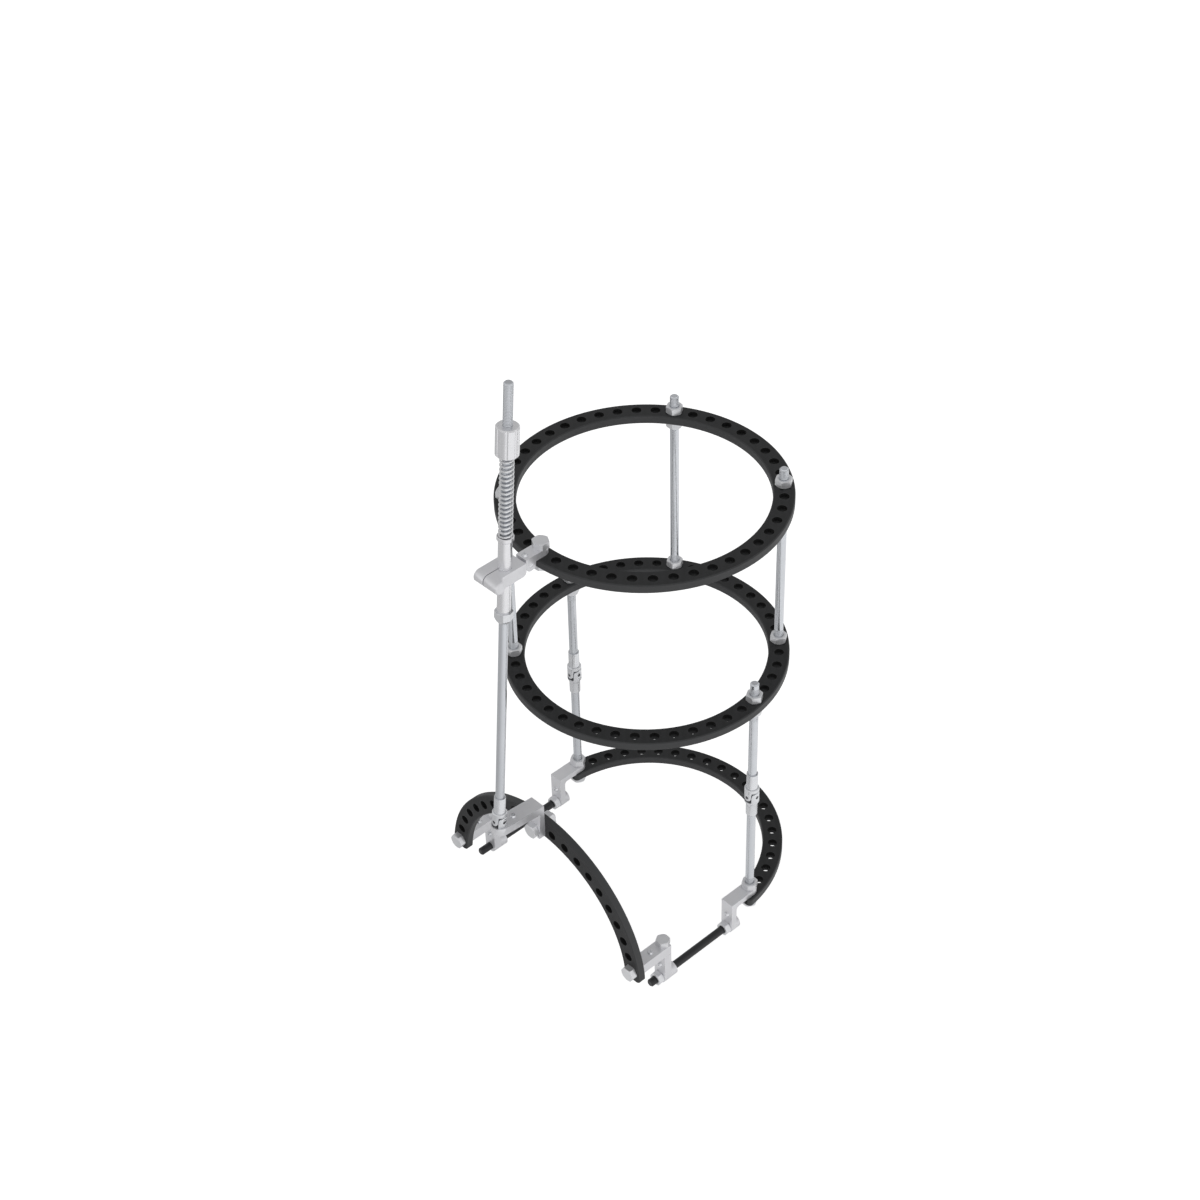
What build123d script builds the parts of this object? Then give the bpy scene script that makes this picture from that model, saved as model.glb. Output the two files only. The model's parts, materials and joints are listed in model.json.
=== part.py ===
from build123d import *
import os
from math import cos, radians, sin, tan

os.makedirs("parts", exist_ok=True)

# External fixator for an ankle: two rings on the shin, a heel half ring and a forefoot arch
# that turn about the ankle, and a spring loaded rod that drives the foot down or up.
# Millimetres. Origin: centre of the upper ring's top face. +Z up, -Y toes, +X the inner side.

# Rings and half rings
ring_outer_r = 94.5
ring_width = 14.0
ring_thickness = 6.0
ring_edge_chamfer = 0.6
hole_count = 44
ring_hole_r = 3.3
ring_spacing = 128.4
half_ring_end_cut = 5.0
half_ring_corner_r = 3.0
ring_inner_r = ring_outer_r - ring_width
hole_circle_r = ring_outer_r - ring_width / 2
hole_step = 360 / hole_count
lower_ring_z = -ring_spacing

# Threaded rods, nuts and bolts
rod_r = 3.0
rod_tip_chamfer = 0.8
rod_stand_out = 12.5
thread_clearance = 0.05
nut_across_flats = 10.0
nut_height = 5.0
bolt_head_height = 4.4
bolt_end_stand_out = 2.0
ring_rod_steps = (15, 6, 28)

# Ankle hinges
hinge_drop = 84.8
hinge_step = 1
hinge_z = lower_ring_z - hinge_drop
hinge_x = hole_circle_r * cos(radians(hole_step * hinge_step))
hinge_y = hole_circle_r * sin(radians(hole_step * hinge_step))
hinge_rod_stand_out = 14.0
joint_r = 5.0
joint_collar_r = 3.85
joint_collar_top = 19.2
joint_collar_bottom = 7.0
joint_base_gap = 4.4
joint_edge = 0.6
joint_stem_bottom = -18.0
joint_rod_depth = 10.0
fork_half_gap = 3.2
fork_clearance = 0.3
upper_ear_half_width = fork_half_gap - fork_clearance
upper_ear_tip = 2.7
lower_ear_r = 3.8
lower_base_gap = 4.2
lower_base_edge = 1.2
lower_base_taper = 2.2
stem_end_chamfer = 1.0
joint_pin_r = 1.2
pin_recess = 0.2
press_clearance = 0.02
running_clearance = 0.05
cross_half_height = 2.5

# Heel half ring and rear brackets
heel_ring_drop = 92.8
heel_ring_z = hinge_z - heel_ring_drop
bracket_width = 10.0
bracket_end_fillet = bracket_width / 2 - press_clearance
rear_plate_thickness = 4.6
rear_leg_setback = 22.25
rear_leg_front_y = hinge_y - rear_leg_setback
rear_leg_thickness = 4.6
rear_fillet_r = 2.5
side_rod_drop = 19.0
side_rod_z = heel_ring_z - side_rod_drop
side_rod_r = 2.8
side_rod_clearance = 0.05
side_rod_stand_out = 9.6
side_rod_end_recess = 0.3
boss_length = 3.9
clamp_nut_across_flats = 9.0
clamp_nut_height = 4.6
bracket_screw_rise = 12.0

# Forefoot arch and front brackets
arch_reach = 13.3
arch_front_y = -hole_circle_r - arch_reach
arch_back_y = arch_front_y + ring_thickness
front_bar_rise = 30.2
front_bar_height = 8.0
front_bar_length = 26.5
front_bar_top_z = side_rod_z + front_bar_rise
front_post_rear_y = arch_back_y + front_bar_length
front_post_thickness = 6.1
front_boss_length = 6.0
front_bolt_head_height = 4.4
front_bolt_r = 2.0
front_bolt_depth = 7.0
arch_bolt_length = 9.0
arch_bolt_drop = 4.6
bar_screw_setback = 11.8
end_bolt_z = front_bar_top_z - arch_bolt_drop
arch_centre_z = end_bolt_z - hinge_y
arch_top_hole_z = arch_centre_z + hole_circle_r

# Small lock screws
lock_screw_head_r = 2.1
lock_screw_head_height = 1.3
lock_screw_r = 1.25
lock_screw_length = 2.0

# Clamp block and the bracket on the upper ring
block_low_z = -4.0
block_height = 9.0
block_front_reach = 15.9
block_rear_reach = 11.7
block_outer_x = -10.2
block_inner_x = 10.3
block_nose_r = 4.4
block_heel_r = 3.0
nose_depth = 6.2
notch_x = 6.8
notch_r = 3.2
notch_edge = 0.9
block_slit = 0.6
block_slit_x = -1.8
ring_bracket_width = 9.0
ring_bracket_thickness = 5.0
swivel_pin_r = 1.5
swivel_lug_r = 3.9
swivel_ring_gap = 1.2
swivel_block_gap = 1.9
swivel_y = -ring_outer_r - swivel_ring_gap - swivel_lug_r
swivel_z = -1.4
swivel_slot_half_width = 2.3
swivel_side_clearance = 0.15
swivel_clearance = 0.3
tongue_height = 6.4
swivel_screw_setback = 1.0

# Motor: its rod leans from the foot bracket to the clamp block on the upper ring
motor_lean = 4.95
foot_joint_rise = 29.25
motor_rod_rise = 134.0
sleeve_rise = 28.1
lower_tube_drop = 27.2
collar_drop = 35.6
knob_rise = 84.3
motor_z = arch_top_hole_z + foot_joint_rise
motor_top_y = swivel_y - swivel_lug_r - swivel_block_gap - block_rear_reach
motor_y = motor_top_y + motor_z * tan(radians(motor_lean))
ring_level = -motor_z / cos(radians(motor_lean))
motor_rod_top = ring_level + motor_rod_rise
sleeve_r = 4.4
sleeve_top = ring_level + sleeve_rise
cup_r = 5.4
cup_height = 3.0
cup_depth = 1.7
cup_wall = 0.6
lower_tube_r = sleeve_r
lower_tube_bottom = ring_level - lower_tube_drop
collar_r = 6.0
collar_bottom = ring_level - collar_drop
collar_taper = 3.0
collar_step_in = 2.0
spring_wire_r = 0.65
spring_r = 3.95
spring_pitch = 3.1
knob_bottom = ring_level + knob_rise
knob_height = 22.0
knob_r = 8.5
knob_flutes = 10
knob_flute_r = 1.5
knob_chamfer = 1.6

# Foot bracket of the motor
foot_bracket_face = 4.2
fork_base_height = 2.0
fork_stud_r = 2.5
foot_plate_top = -4.4
foot_plate_thickness = 6.0
foot_bracket_width = 12.0
foot_bracket_end = 3.4
bolt_seat_r = 6.0
foot_bracket_drop = 5.0
foot_screw_offset = 11.9

swivel_lug_half_width = swivel_slot_half_width - swivel_side_clearance
motor_up = Vector(0, sin(radians(motor_lean)), cos(radians(motor_lean)))
motor = Plane(origin=(0, motor_y, motor_z), x_dir=(1, 0, 0), z_dir=motor_up)
motor_axis = Axis(motor.origin, motor.z_dir)
foot_screw_plane = Plane(
    origin=motor.offset(foot_plate_top).origin + motor.y_dir * foot_screw_offset,
    x_dir=motor.x_dir,
    z_dir=motor.z_dir,
)


def side_view(frame):
    """Plane with the frame's x to the right and its z upward."""
    return Plane(origin=frame.origin, x_dir=frame.x_dir, z_dir=frame.y_dir * -1)


def end_view(frame):
    """Plane with the frame's y to the right and its z upward."""
    return Plane(origin=frame.origin, x_dir=frame.y_dir, z_dir=frame.x_dir)


def axis_of(frame):
    return Axis(frame.origin, frame.z_dir)


def turned_profile(frame, points):
    """Revolve a radius and height outline about the frame's z axis."""
    with BuildSketch(side_view(frame)) as profile:
        with BuildLine():
            Polyline(*points, close=True)
        make_face()
    revolve(profile.sketch, axis=axis_of(frame))


def drill(frame, radius, depth):
    """Cut a round hole from the frame's origin along its z axis."""
    with BuildSketch(frame) as profile:
        Circle(radius)
    extrude(profile.sketch, amount=depth, mode=Mode.SUBTRACT)


def upright(x, y, z):
    return Plane(origin=(x, y, z), x_dir=(1, 0, 0), z_dir=(0, 0, 1))


def forward(x, y, z):
    """Frame whose z axis points to the toes and whose y axis points up."""
    return Plane(origin=(x, y, z), x_dir=(1, 0, 0), z_dir=(0, -1, 0))


def hole_point(step):
    angle = radians(step * hole_step)
    return (hole_circle_r * cos(angle), hole_circle_r * sin(angle))


def rod(frame, length, radius=rod_r):
    """Round rod from the frame's origin, with both ends chamfered."""
    turned_profile(
        frame,
        [
            (0, 0),
            (radius - rod_tip_chamfer, 0),
            (radius, rod_tip_chamfer),
            (radius, length - rod_tip_chamfer),
            (radius - rod_tip_chamfer, length),
            (0, length),
        ],
    )


def nut(frame, across_flats=nut_across_flats, height=nut_height, bore_r=rod_r):
    """Hex nut that stands on the frame's plane."""
    with BuildSketch(frame) as profile:
        RegularPolygon(radius=across_flats / 2, side_count=6, major_radius=False)
        Circle(bore_r + thread_clearance, mode=Mode.SUBTRACT)
    extrude(profile.sketch, amount=height)


def bolt(frame, head_height, shank_length, across_flats=nut_across_flats, shank_r=rod_r):
    """Hex bolt whose head stands on the frame's plane and whose shank goes through it."""
    with BuildSketch(frame) as profile:
        RegularPolygon(radius=across_flats / 2, side_count=6, major_radius=False)
    extrude(profile.sketch, amount=head_height)
    with BuildSketch(frame) as profile:
        Circle(shank_r)
    extrude(profile.sketch, amount=-shank_length)


def lock_screw(frame):
    """Small round headed screw with a hex socket, head on the frame's plane."""
    with BuildSketch(frame) as profile:
        Circle(lock_screw_head_r)
    extrude(profile.sketch, amount=lock_screw_head_height, taper=20)
    with BuildSketch(frame) as profile:
        Circle(lock_screw_r)
    extrude(profile.sketch, amount=-lock_screw_length)
    with BuildSketch(frame.offset(lock_screw_head_height)) as profile:
        RegularPolygon(radius=lock_screw_r / 2, side_count=6)
    extrude(profile.sketch, amount=-lock_screw_head_height / 2, mode=Mode.SUBTRACT)


def lock_screw_hole(frame):
    drill(frame, lock_screw_r + thread_clearance, -lock_screw_length - fork_clearance)


def ring_plate(face):
    """Flat ring with a circle of holes; face is the plane of its top."""
    with BuildSketch(face) as profile:
        Circle(ring_outer_r)
        Circle(ring_inner_r, mode=Mode.SUBTRACT)
        with PolarLocations(hole_circle_r, hole_count):
            Circle(ring_hole_r, mode=Mode.SUBTRACT)
    body = extrude(profile.sketch, amount=-ring_thickness)
    rims = body.edges().filter_by(lambda e: e.geom_type == GeomType.CIRCLE and e.radius > ring_inner_r - 1)
    chamfer(rims, length=ring_edge_chamfer)


def half_ring_plate(face):
    """Half of the ring, short of the diameter by the end cut, on the face's y side."""
    with BuildSketch(face) as profile:
        Circle(ring_outer_r)
        Circle(ring_inner_r, mode=Mode.SUBTRACT)
        with Locations((0, half_ring_end_cut - ring_outer_r)):
            Rectangle(2 * ring_outer_r + 2, 2 * ring_outer_r, mode=Mode.SUBTRACT)
        fillet(profile.vertices(), radius=half_ring_corner_r)
        with PolarLocations(
            hole_circle_r,
            hole_count // 2 - 1,
            start_angle=hole_step,
            angular_range=180 - 2 * hole_step,
            endpoint=True,
        ):
            Circle(ring_hole_r, mode=Mode.SUBTRACT)
    body = extrude(profile.sketch, amount=-ring_thickness)
    faces = body.faces().filter_by(lambda f: abs(f.normal_at().dot(face.z_dir)) > 0.99)
    rims = [edge for flat in faces for edge in flat.outer_wire().edges()]
    chamfer(rims, length=ring_edge_chamfer)


def upper_yoke(centre):
    """Collar that takes the rod's end, with two ears across the hinge pin."""
    turned_profile(
        centre,
        [
            (0, joint_base_gap),
            (joint_r, joint_base_gap),
            (joint_r, joint_collar_bottom - joint_edge),
            (joint_r - joint_edge, joint_collar_bottom),
            (joint_collar_r, joint_collar_bottom),
            (joint_collar_r, joint_collar_top),
            (rod_r + thread_clearance, joint_collar_top),
            (rod_r + thread_clearance, joint_collar_top - joint_rod_depth),
            (0, joint_collar_top - joint_rod_depth),
        ],
    )
    with BuildSketch(centre.offset(-upper_ear_tip)) as profile:
        Circle(joint_r)
        Rectangle(2 * upper_ear_half_width, 2 * joint_r, mode=Mode.INTERSECT)
        Rectangle(2 * joint_r, 2 * fork_half_gap, mode=Mode.SUBTRACT)
    ears = extrude(profile.sketch, amount=upper_ear_tip + joint_base_gap)
    tips = ears.edges().filter_by(Axis(centre.origin, centre.y_dir)).sort_by(axis_of(centre))[:4]
    fillet(tips, radius=upper_ear_half_width - 0.3)
    with BuildSketch(side_view(centre)) as profile:
        Circle(joint_pin_r + press_clearance)
    extrude(profile.sketch, amount=joint_r + 1, both=True, mode=Mode.SUBTRACT)


def joint_cross(centre, hinge_pin_half_length):
    """Block between the two yokes with its two crossing pins."""
    with BuildSketch(centre.offset(-cross_half_height)) as profile:
        Rectangle(2 * upper_ear_half_width, 2 * upper_ear_half_width)
    block = extrude(profile.sketch, amount=2 * cross_half_height)
    chamfer(block.edges().filter_by(axis_of(centre)), length=joint_edge)
    with BuildSketch(side_view(centre)) as profile:
        Circle(joint_pin_r)
    extrude(profile.sketch, amount=joint_r - pin_recess, both=True)
    with BuildSketch(end_view(centre)) as profile:
        Circle(joint_pin_r)
    extrude(profile.sketch, amount=hinge_pin_half_length, both=True)


def lower_ears(centre, base_gap):
    """Two ears that carry the hinge pin, rounded about it and turned to the barrel's radius."""
    with BuildSketch(end_view(centre)) as profile:
        Circle(lower_ear_r)
        with Locations((0, -base_gap / 2)):
            Rectangle(2 * lower_ear_r, base_gap)
    extrude(profile.sketch, amount=joint_r, both=True)
    with BuildSketch(centre.offset(-base_gap)) as profile:
        Rectangle(2 * fork_half_gap, 3 * joint_r)
    extrude(profile.sketch, amount=3 * lower_ear_r, mode=Mode.SUBTRACT)
    with BuildSketch(centre.offset(-base_gap)) as profile:
        Circle(2 * joint_r)
        Circle(joint_r, mode=Mode.SUBTRACT)
    extrude(profile.sketch, amount=3 * lower_ear_r, mode=Mode.SUBTRACT)


def hinge_pin_holes(centre, clearance):
    with BuildSketch(end_view(centre)) as profile:
        Circle(joint_pin_r + clearance)
    extrude(profile.sketch, amount=joint_r + 1, both=True, mode=Mode.SUBTRACT)


def rear_bracket(side):
    """L shaped bracket: plate on the heel ring, leg and boss down to the side rod."""
    x = side * hinge_x
    plate_rear_y = hinge_y + bracket_width / 2
    leg_rear_y = rear_leg_front_y + rear_leg_thickness
    top_z = heel_ring_z + rear_plate_thickness
    bottom_z = side_rod_z - bracket_width / 2
    with BuildSketch(Plane.YZ.offset(x - bracket_width / 2)) as profile:
        with BuildLine():
            Polyline(
                (rear_leg_front_y, bottom_z),
                (leg_rear_y, bottom_z),
                (leg_rear_y, heel_ring_z),
                (plate_rear_y, heel_ring_z),
                (plate_rear_y, top_z),
                (rear_leg_front_y, top_z),
                close=True,
            )
        make_face()
    body = extrude(profile.sketch, amount=bracket_width)
    inner = body.edges().filter_by(Axis.X).sort_by_distance((x, leg_rear_y, heel_ring_z))[:1]
    plate_end = body.edges().filter_by(Axis.Z).sort_by(Axis.Y)[-2:]
    leg_end = body.edges().filter_by(Axis.Y).sort_by(Axis.Z)[:2]
    fillet(inner, radius=rear_fillet_r)
    fillet(plate_end, radius=bracket_end_fillet)
    fillet(leg_end, radius=bracket_end_fillet)
    with BuildSketch(forward(x, leg_rear_y + boss_length, side_rod_z)) as profile:
        Circle(bracket_width / 2 - press_clearance)
    extrude(profile.sketch, amount=boss_length + rear_leg_thickness / 2)
    drill(
        forward(x, leg_rear_y + boss_length, side_rod_z),
        side_rod_r + side_rod_clearance,
        rear_leg_thickness + boss_length,
    )
    drill(upright(x, hinge_y, heel_ring_z), ring_hole_r, rear_plate_thickness)
    lock_screw_hole(forward(x, rear_leg_front_y, side_rod_z + bracket_screw_rise))


def front_post(side):
    """Post below the front bar, with a boss for the side rod."""
    x = side * hinge_x
    bottom_z = side_rod_z - bracket_width / 2
    top_z = front_bar_top_z - front_bar_height
    front_y = front_post_rear_y - front_post_thickness
    with BuildSketch(Plane.XY.offset(bottom_z)) as profile:
        with Locations((x, front_y + front_post_thickness / 2)):
            Rectangle(bracket_width, front_post_thickness)
    body = extrude(profile.sketch, amount=top_z - bottom_z)
    fillet(body.edges().filter_by(Axis.Y).sort_by(Axis.Z)[:2], radius=bracket_end_fillet)
    with BuildSketch(forward(x, front_post_rear_y + front_boss_length, side_rod_z)) as profile:
        Circle(bracket_width / 2 - press_clearance)
    extrude(profile.sketch, amount=front_boss_length + front_post_thickness / 2)
    drill(
        forward(x, front_post_rear_y + front_boss_length, side_rod_z),
        side_rod_r + side_rod_clearance,
        front_post_thickness + front_boss_length,
    )
    bolt_y = front_post_rear_y - front_post_thickness / 2
    drill(upright(x, bolt_y, top_z), front_bolt_r + thread_clearance, -front_bolt_depth)
    lock_screw_hole(forward(x, front_y, side_rod_z + bracket_screw_rise))


def front_bar(side):
    """Bar from the back of the arch to the post."""
    x = side * hinge_x
    bottom_z = front_bar_top_z - front_bar_height
    with BuildSketch(Plane.XY.offset(bottom_z)) as profile:
        with Locations((x, arch_back_y + front_bar_length / 2)):
            Rectangle(bracket_width, front_bar_length)
    extrude(profile.sketch, amount=front_bar_height)
    bolt_y = front_post_rear_y - front_post_thickness / 2
    drill(upright(x, bolt_y, bottom_z), front_bolt_r + thread_clearance, front_bar_height)
    drill(forward(x, arch_back_y, end_bolt_z), rod_r + thread_clearance, -arch_bolt_length)
    lock_screw_hole(upright(x, arch_back_y + bar_screw_setback, front_bar_top_z))


# Upper ring
with BuildPart() as upper_ring:
    ring_plate(Plane.XY)
upper_ring.part.label = "upper_ring"
export_step(upper_ring.part, "parts/upper_ring.step")

# Lower ring
with BuildPart() as lower_ring:
    ring_plate(Plane.XY.offset(lower_ring_z))
lower_ring.part.label = "lower_ring"
export_step(lower_ring.part, "parts/lower_ring.step")

# Threaded rods between the rings
rod_end_below = ring_thickness + nut_height + bolt_end_stand_out
with BuildPart() as ring_rods:
    for step in ring_rod_steps:
        x, y = hole_point(step)
        rod(upright(x, y, lower_ring_z - rod_end_below), ring_spacing + rod_end_below + rod_stand_out)
ring_rods.part.label = "ring_rods"
export_step(ring_rods.part, "parts/ring_rods.step")

# Nuts on both sides of each ring
with BuildPart() as ring_nuts:
    for step in ring_rod_steps:
        x, y = hole_point(step)
        for ring_z in (0, lower_ring_z):
            nut(upright(x, y, ring_z))
            nut(upright(x, y, ring_z - ring_thickness - nut_height))
    for side in (1, -1):
        nut(upright(side * hinge_x, hinge_y, lower_ring_z))
        nut(upright(side * hinge_x, hinge_y, lower_ring_z - ring_thickness - nut_height))
    nut(upright(0, -hole_circle_r, -ring_thickness - nut_height))
ring_nuts.part.label = "ring_nuts"
export_step(ring_nuts.part, "parts/ring_nuts.step")

# Upper hinge rods
upper_hinge_rod_bottom = hinge_z + joint_collar_top - joint_rod_depth
with BuildPart() as upper_hinge_rods:
    for side in (1, -1):
        rod(
            upright(side * hinge_x, hinge_y, upper_hinge_rod_bottom),
            lower_ring_z + hinge_rod_stand_out - upper_hinge_rod_bottom,
        )
upper_hinge_rods.part.label = "upper_hinge_rods"
export_step(upper_hinge_rods.part, "parts/upper_hinge_rods.step")

# Ankle hinge, inner side
inner_joint = upright(hinge_x, hinge_y, hinge_z)
with BuildPart() as upper_yoke_inner:
    upper_yoke(inner_joint)
upper_yoke_inner.part.label = "upper_yoke_inner"
export_step(upper_yoke_inner.part, "parts/upper_yoke_inner.step")

with BuildPart() as cross_inner:
    joint_cross(inner_joint, joint_r - pin_recess)
cross_inner.part.label = "cross_inner"
export_step(cross_inner.part, "parts/cross_inner.step")


def lower_yoke(centre):
    """Fork and stem that hold the lower hinge rod."""
    lower_ears(centre, lower_base_gap)
    turned_profile(
        centre,
        [
            (0, -lower_base_gap),
            (joint_r, -lower_base_gap),
            (joint_r, -lower_base_gap - lower_base_edge),
            (joint_collar_r, -lower_base_gap - lower_base_edge - lower_base_taper),
            (joint_collar_r, joint_stem_bottom + stem_end_chamfer),
            (rod_r + thread_clearance, joint_stem_bottom),
            (rod_r + thread_clearance, joint_stem_bottom + joint_rod_depth),
            (0, joint_stem_bottom + joint_rod_depth),
        ],
    )
    hinge_pin_holes(centre, running_clearance)


with BuildPart() as lower_yoke_inner:
    lower_yoke(inner_joint)
lower_yoke_inner.part.label = "lower_yoke_inner"
export_step(lower_yoke_inner.part, "parts/lower_yoke_inner.step")

# Ankle hinge, outer side
outer_joint = upright(-hinge_x, hinge_y, hinge_z)
with BuildPart() as upper_yoke_outer:
    upper_yoke(outer_joint)
upper_yoke_outer.part.label = "upper_yoke_outer"
export_step(upper_yoke_outer.part, "parts/upper_yoke_outer.step")

with BuildPart() as cross_outer:
    joint_cross(outer_joint, joint_r - pin_recess)
cross_outer.part.label = "cross_outer"
export_step(cross_outer.part, "parts/cross_outer.step")

with BuildPart() as lower_yoke_outer:
    lower_yoke(outer_joint)
lower_yoke_outer.part.label = "lower_yoke_outer"
export_step(lower_yoke_outer.part, "parts/lower_yoke_outer.step")

# Lower hinge rods
lower_rod_bottom = heel_ring_z - ring_thickness - nut_height - bolt_end_stand_out
with BuildPart() as lower_hinge_rods:
    for side in (1, -1):
        rod(
            upright(side * hinge_x, hinge_y, lower_rod_bottom),
            hinge_z + joint_stem_bottom + joint_rod_depth - lower_rod_bottom,
        )
lower_hinge_rods.part.label = "lower_hinge_rods"
export_step(lower_hinge_rods.part, "parts/lower_hinge_rods.step")

# Heel half ring
with BuildPart() as heel_half_ring:
    half_ring_plate(Plane.XY.offset(heel_ring_z))
heel_half_ring.part.label = "heel_half_ring"
export_step(heel_half_ring.part, "parts/heel_half_ring.step")

# Nuts that hold the heel ring and its brackets on the hinge rods
with BuildPart() as heel_nuts:
    for side in (1, -1):
        nut(upright(side * hinge_x, hinge_y, heel_ring_z + rear_plate_thickness))
        nut(upright(side * hinge_x, hinge_y, heel_ring_z - ring_thickness - nut_height))
heel_nuts.part.label = "heel_nuts"
export_step(heel_nuts.part, "parts/heel_nuts.step")

# Rear brackets
with BuildPart() as rear_bracket_inner:
    rear_bracket(1)
rear_bracket_inner.part.label = "rear_bracket_inner"
export_step(rear_bracket_inner.part, "parts/rear_bracket_inner.step")

with BuildPart() as rear_bracket_outer:
    rear_bracket(-1)
rear_bracket_outer.part.label = "rear_bracket_outer"
export_step(rear_bracket_outer.part, "parts/rear_bracket_outer.step")

# Side rods
side_rod_rear_y = rear_leg_front_y + rear_leg_thickness + boss_length - side_rod_end_recess
side_rod_front_y = front_post_rear_y - front_post_thickness - side_rod_stand_out


def side_rod(side):
    rod(
        forward(side * hinge_x, side_rod_rear_y, side_rod_z),
        side_rod_rear_y - side_rod_front_y,
        side_rod_r,
    )


with BuildPart() as side_rod_inner:
    side_rod(1)
side_rod_inner.part.label = "side_rod_inner"
export_step(side_rod_inner.part, "parts/side_rod_inner.step")

with BuildPart() as side_rod_outer:
    side_rod(-1)
side_rod_outer.part.label = "side_rod_outer"
export_step(side_rod_outer.part, "parts/side_rod_outer.step")

# Forefoot arch, the same half ring stood upright
with BuildPart() as forefoot_arch:
    half_ring_plate(forward(0, arch_front_y, arch_centre_z))
forefoot_arch.part.label = "forefoot_arch"
export_step(forefoot_arch.part, "parts/forefoot_arch.step")

# Front brackets
with BuildPart() as front_bar_inner:
    front_bar(1)
front_bar_inner.part.label = "front_bar_inner"
export_step(front_bar_inner.part, "parts/front_bar_inner.step")

with BuildPart() as front_bar_outer:
    front_bar(-1)
front_bar_outer.part.label = "front_bar_outer"
export_step(front_bar_outer.part, "parts/front_bar_outer.step")

with BuildPart() as front_post_inner:
    front_post(1)
front_post_inner.part.label = "front_post_inner"
export_step(front_post_inner.part, "parts/front_post_inner.step")

with BuildPart() as front_post_outer:
    front_post(-1)
front_post_outer.part.label = "front_post_outer"
export_step(front_post_outer.part, "parts/front_post_outer.step")

# Bolts down through the front bars
with BuildPart() as front_bolts:
    for side in (1, -1):
        bolt(
            upright(side * hinge_x, front_post_rear_y - front_post_thickness / 2, front_bar_top_z),
            front_bolt_head_height,
            front_bar_height + front_bolt_depth - fork_clearance,
            clamp_nut_across_flats,
            front_bolt_r,
        )
front_bolts.part.label = "front_bolts"
export_step(front_bolts.part, "parts/front_bolts.step")

# Bolts through the arch's ends into the front bars
with BuildPart() as arch_bolts:
    for side in (1, -1):
        bolt(
            forward(side * hinge_x, arch_front_y, end_bolt_z),
            bolt_head_height,
            arch_bolt_length + ring_thickness - fork_clearance,
        )
arch_bolts.part.label = "arch_bolts"
export_step(arch_bolts.part, "parts/arch_bolts.step")

# Nuts round the side rods
with BuildPart() as side_rod_nuts:
    post_front_y = front_post_rear_y - front_post_thickness
    for side, face_y in ((1, rear_leg_front_y), (-1, rear_leg_front_y), (1, post_front_y)):
        nut(
            forward(side * hinge_x, face_y, side_rod_z),
            clamp_nut_across_flats,
            clamp_nut_height,
            side_rod_r,
        )
side_rod_nuts.part.label = "side_rod_nuts"
export_step(side_rod_nuts.part, "parts/side_rod_nuts.step")

# Lock screws of the brackets
with BuildPart() as lock_screws:
    for side in (1, -1):
        for face_y in (rear_leg_front_y, post_front_y):
            lock_screw(forward(side * hinge_x, face_y, side_rod_z + bracket_screw_rise))
        lock_screw(upright(side * hinge_x, arch_back_y + bar_screw_setback, front_bar_top_z))
lock_screws.part.label = "lock_screws"
export_step(lock_screws.part, "parts/lock_screws.step")

# Foot bracket of the motor: end plate on the arch, top plate square to the motor's rod
foot_bracket_back = arch_front_y - motor_y
plate_bottom = foot_plate_top - foot_plate_thickness
with BuildPart() as motor_foot_bracket:
    with BuildSketch(Plane.YZ.offset(-foot_bracket_width / 2)):
        with BuildLine():
            lean = tan(radians(motor_lean))
            rise = cos(radians(motor_lean))
            back_top_z = motor_z + foot_plate_top / rise - foot_bracket_back * lean
            back_low_z = motor_z + plate_bottom / rise - foot_bracket_back * lean
            front_y = motor_y - foot_bracket_width / 2 / rise
            front_top_z = motor_z + foot_plate_top / rise + foot_bracket_width / 2 / rise * lean
            front_low_z = motor_z + plate_bottom / rise + foot_bracket_width / 2 / rise * lean
            inner_y = arch_front_y - foot_bracket_end
            inner_z = back_low_z + foot_bracket_end * lean
            low_z = arch_top_hole_z - foot_bracket_drop
            Polyline(
                (arch_front_y, back_top_z),
                (arch_front_y, low_z),
                (inner_y - (inner_z - low_z) * lean, low_z),
                (inner_y, inner_z),
                (front_y, front_low_z),
                (front_y, front_top_z),
                close=True,
            )
        make_face()
    plates = extrude(amount=foot_bracket_width)
    nose = plates.edges().filter_by(Axis.Z, tolerance=2 * motor_lean).sort_by(Axis.Y)[:2]
    fillet(nose, radius=foot_bracket_width / 2 - thread_clearance)
    with BuildSketch(forward(0, arch_front_y - foot_bracket_face, arch_top_hole_z)):
        Circle(bolt_seat_r)
    extrude(amount=foot_bracket_face, mode=Mode.SUBTRACT)
    with BuildSketch(forward(0, arch_front_y, arch_top_hole_z)):
        Circle(ring_hole_r)
    extrude(amount=foot_bracket_face, mode=Mode.SUBTRACT)
    with BuildSketch(motor.offset(foot_plate_top)):
        Circle(joint_r + press_clearance)
    extrude(amount=-fork_base_height, mode=Mode.SUBTRACT)
    with BuildSketch(motor.offset(foot_plate_top)):
        Circle(fork_stud_r + press_clearance)
    extrude(amount=-foot_plate_thickness, mode=Mode.SUBTRACT)
    with BuildSketch(foot_screw_plane):
        Circle(lock_screw_r + thread_clearance)
    extrude(amount=-lock_screw_length - fork_clearance, mode=Mode.SUBTRACT)
motor_foot_bracket.part.label = "motor_foot_bracket"
export_step(motor_foot_bracket.part, "parts/motor_foot_bracket.step")

# Bolt and nut that hold the foot bracket on the arch
with BuildPart() as foot_bracket_bolt:
    bolt(
        forward(0, arch_front_y - foot_bracket_face, arch_top_hole_z),
        bolt_head_height,
        foot_bracket_face + ring_thickness + nut_height + bolt_end_stand_out,
    )
foot_bracket_bolt.part.label = "foot_bracket_bolt"
export_step(foot_bracket_bolt.part, "parts/foot_bracket_bolt.step")

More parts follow.
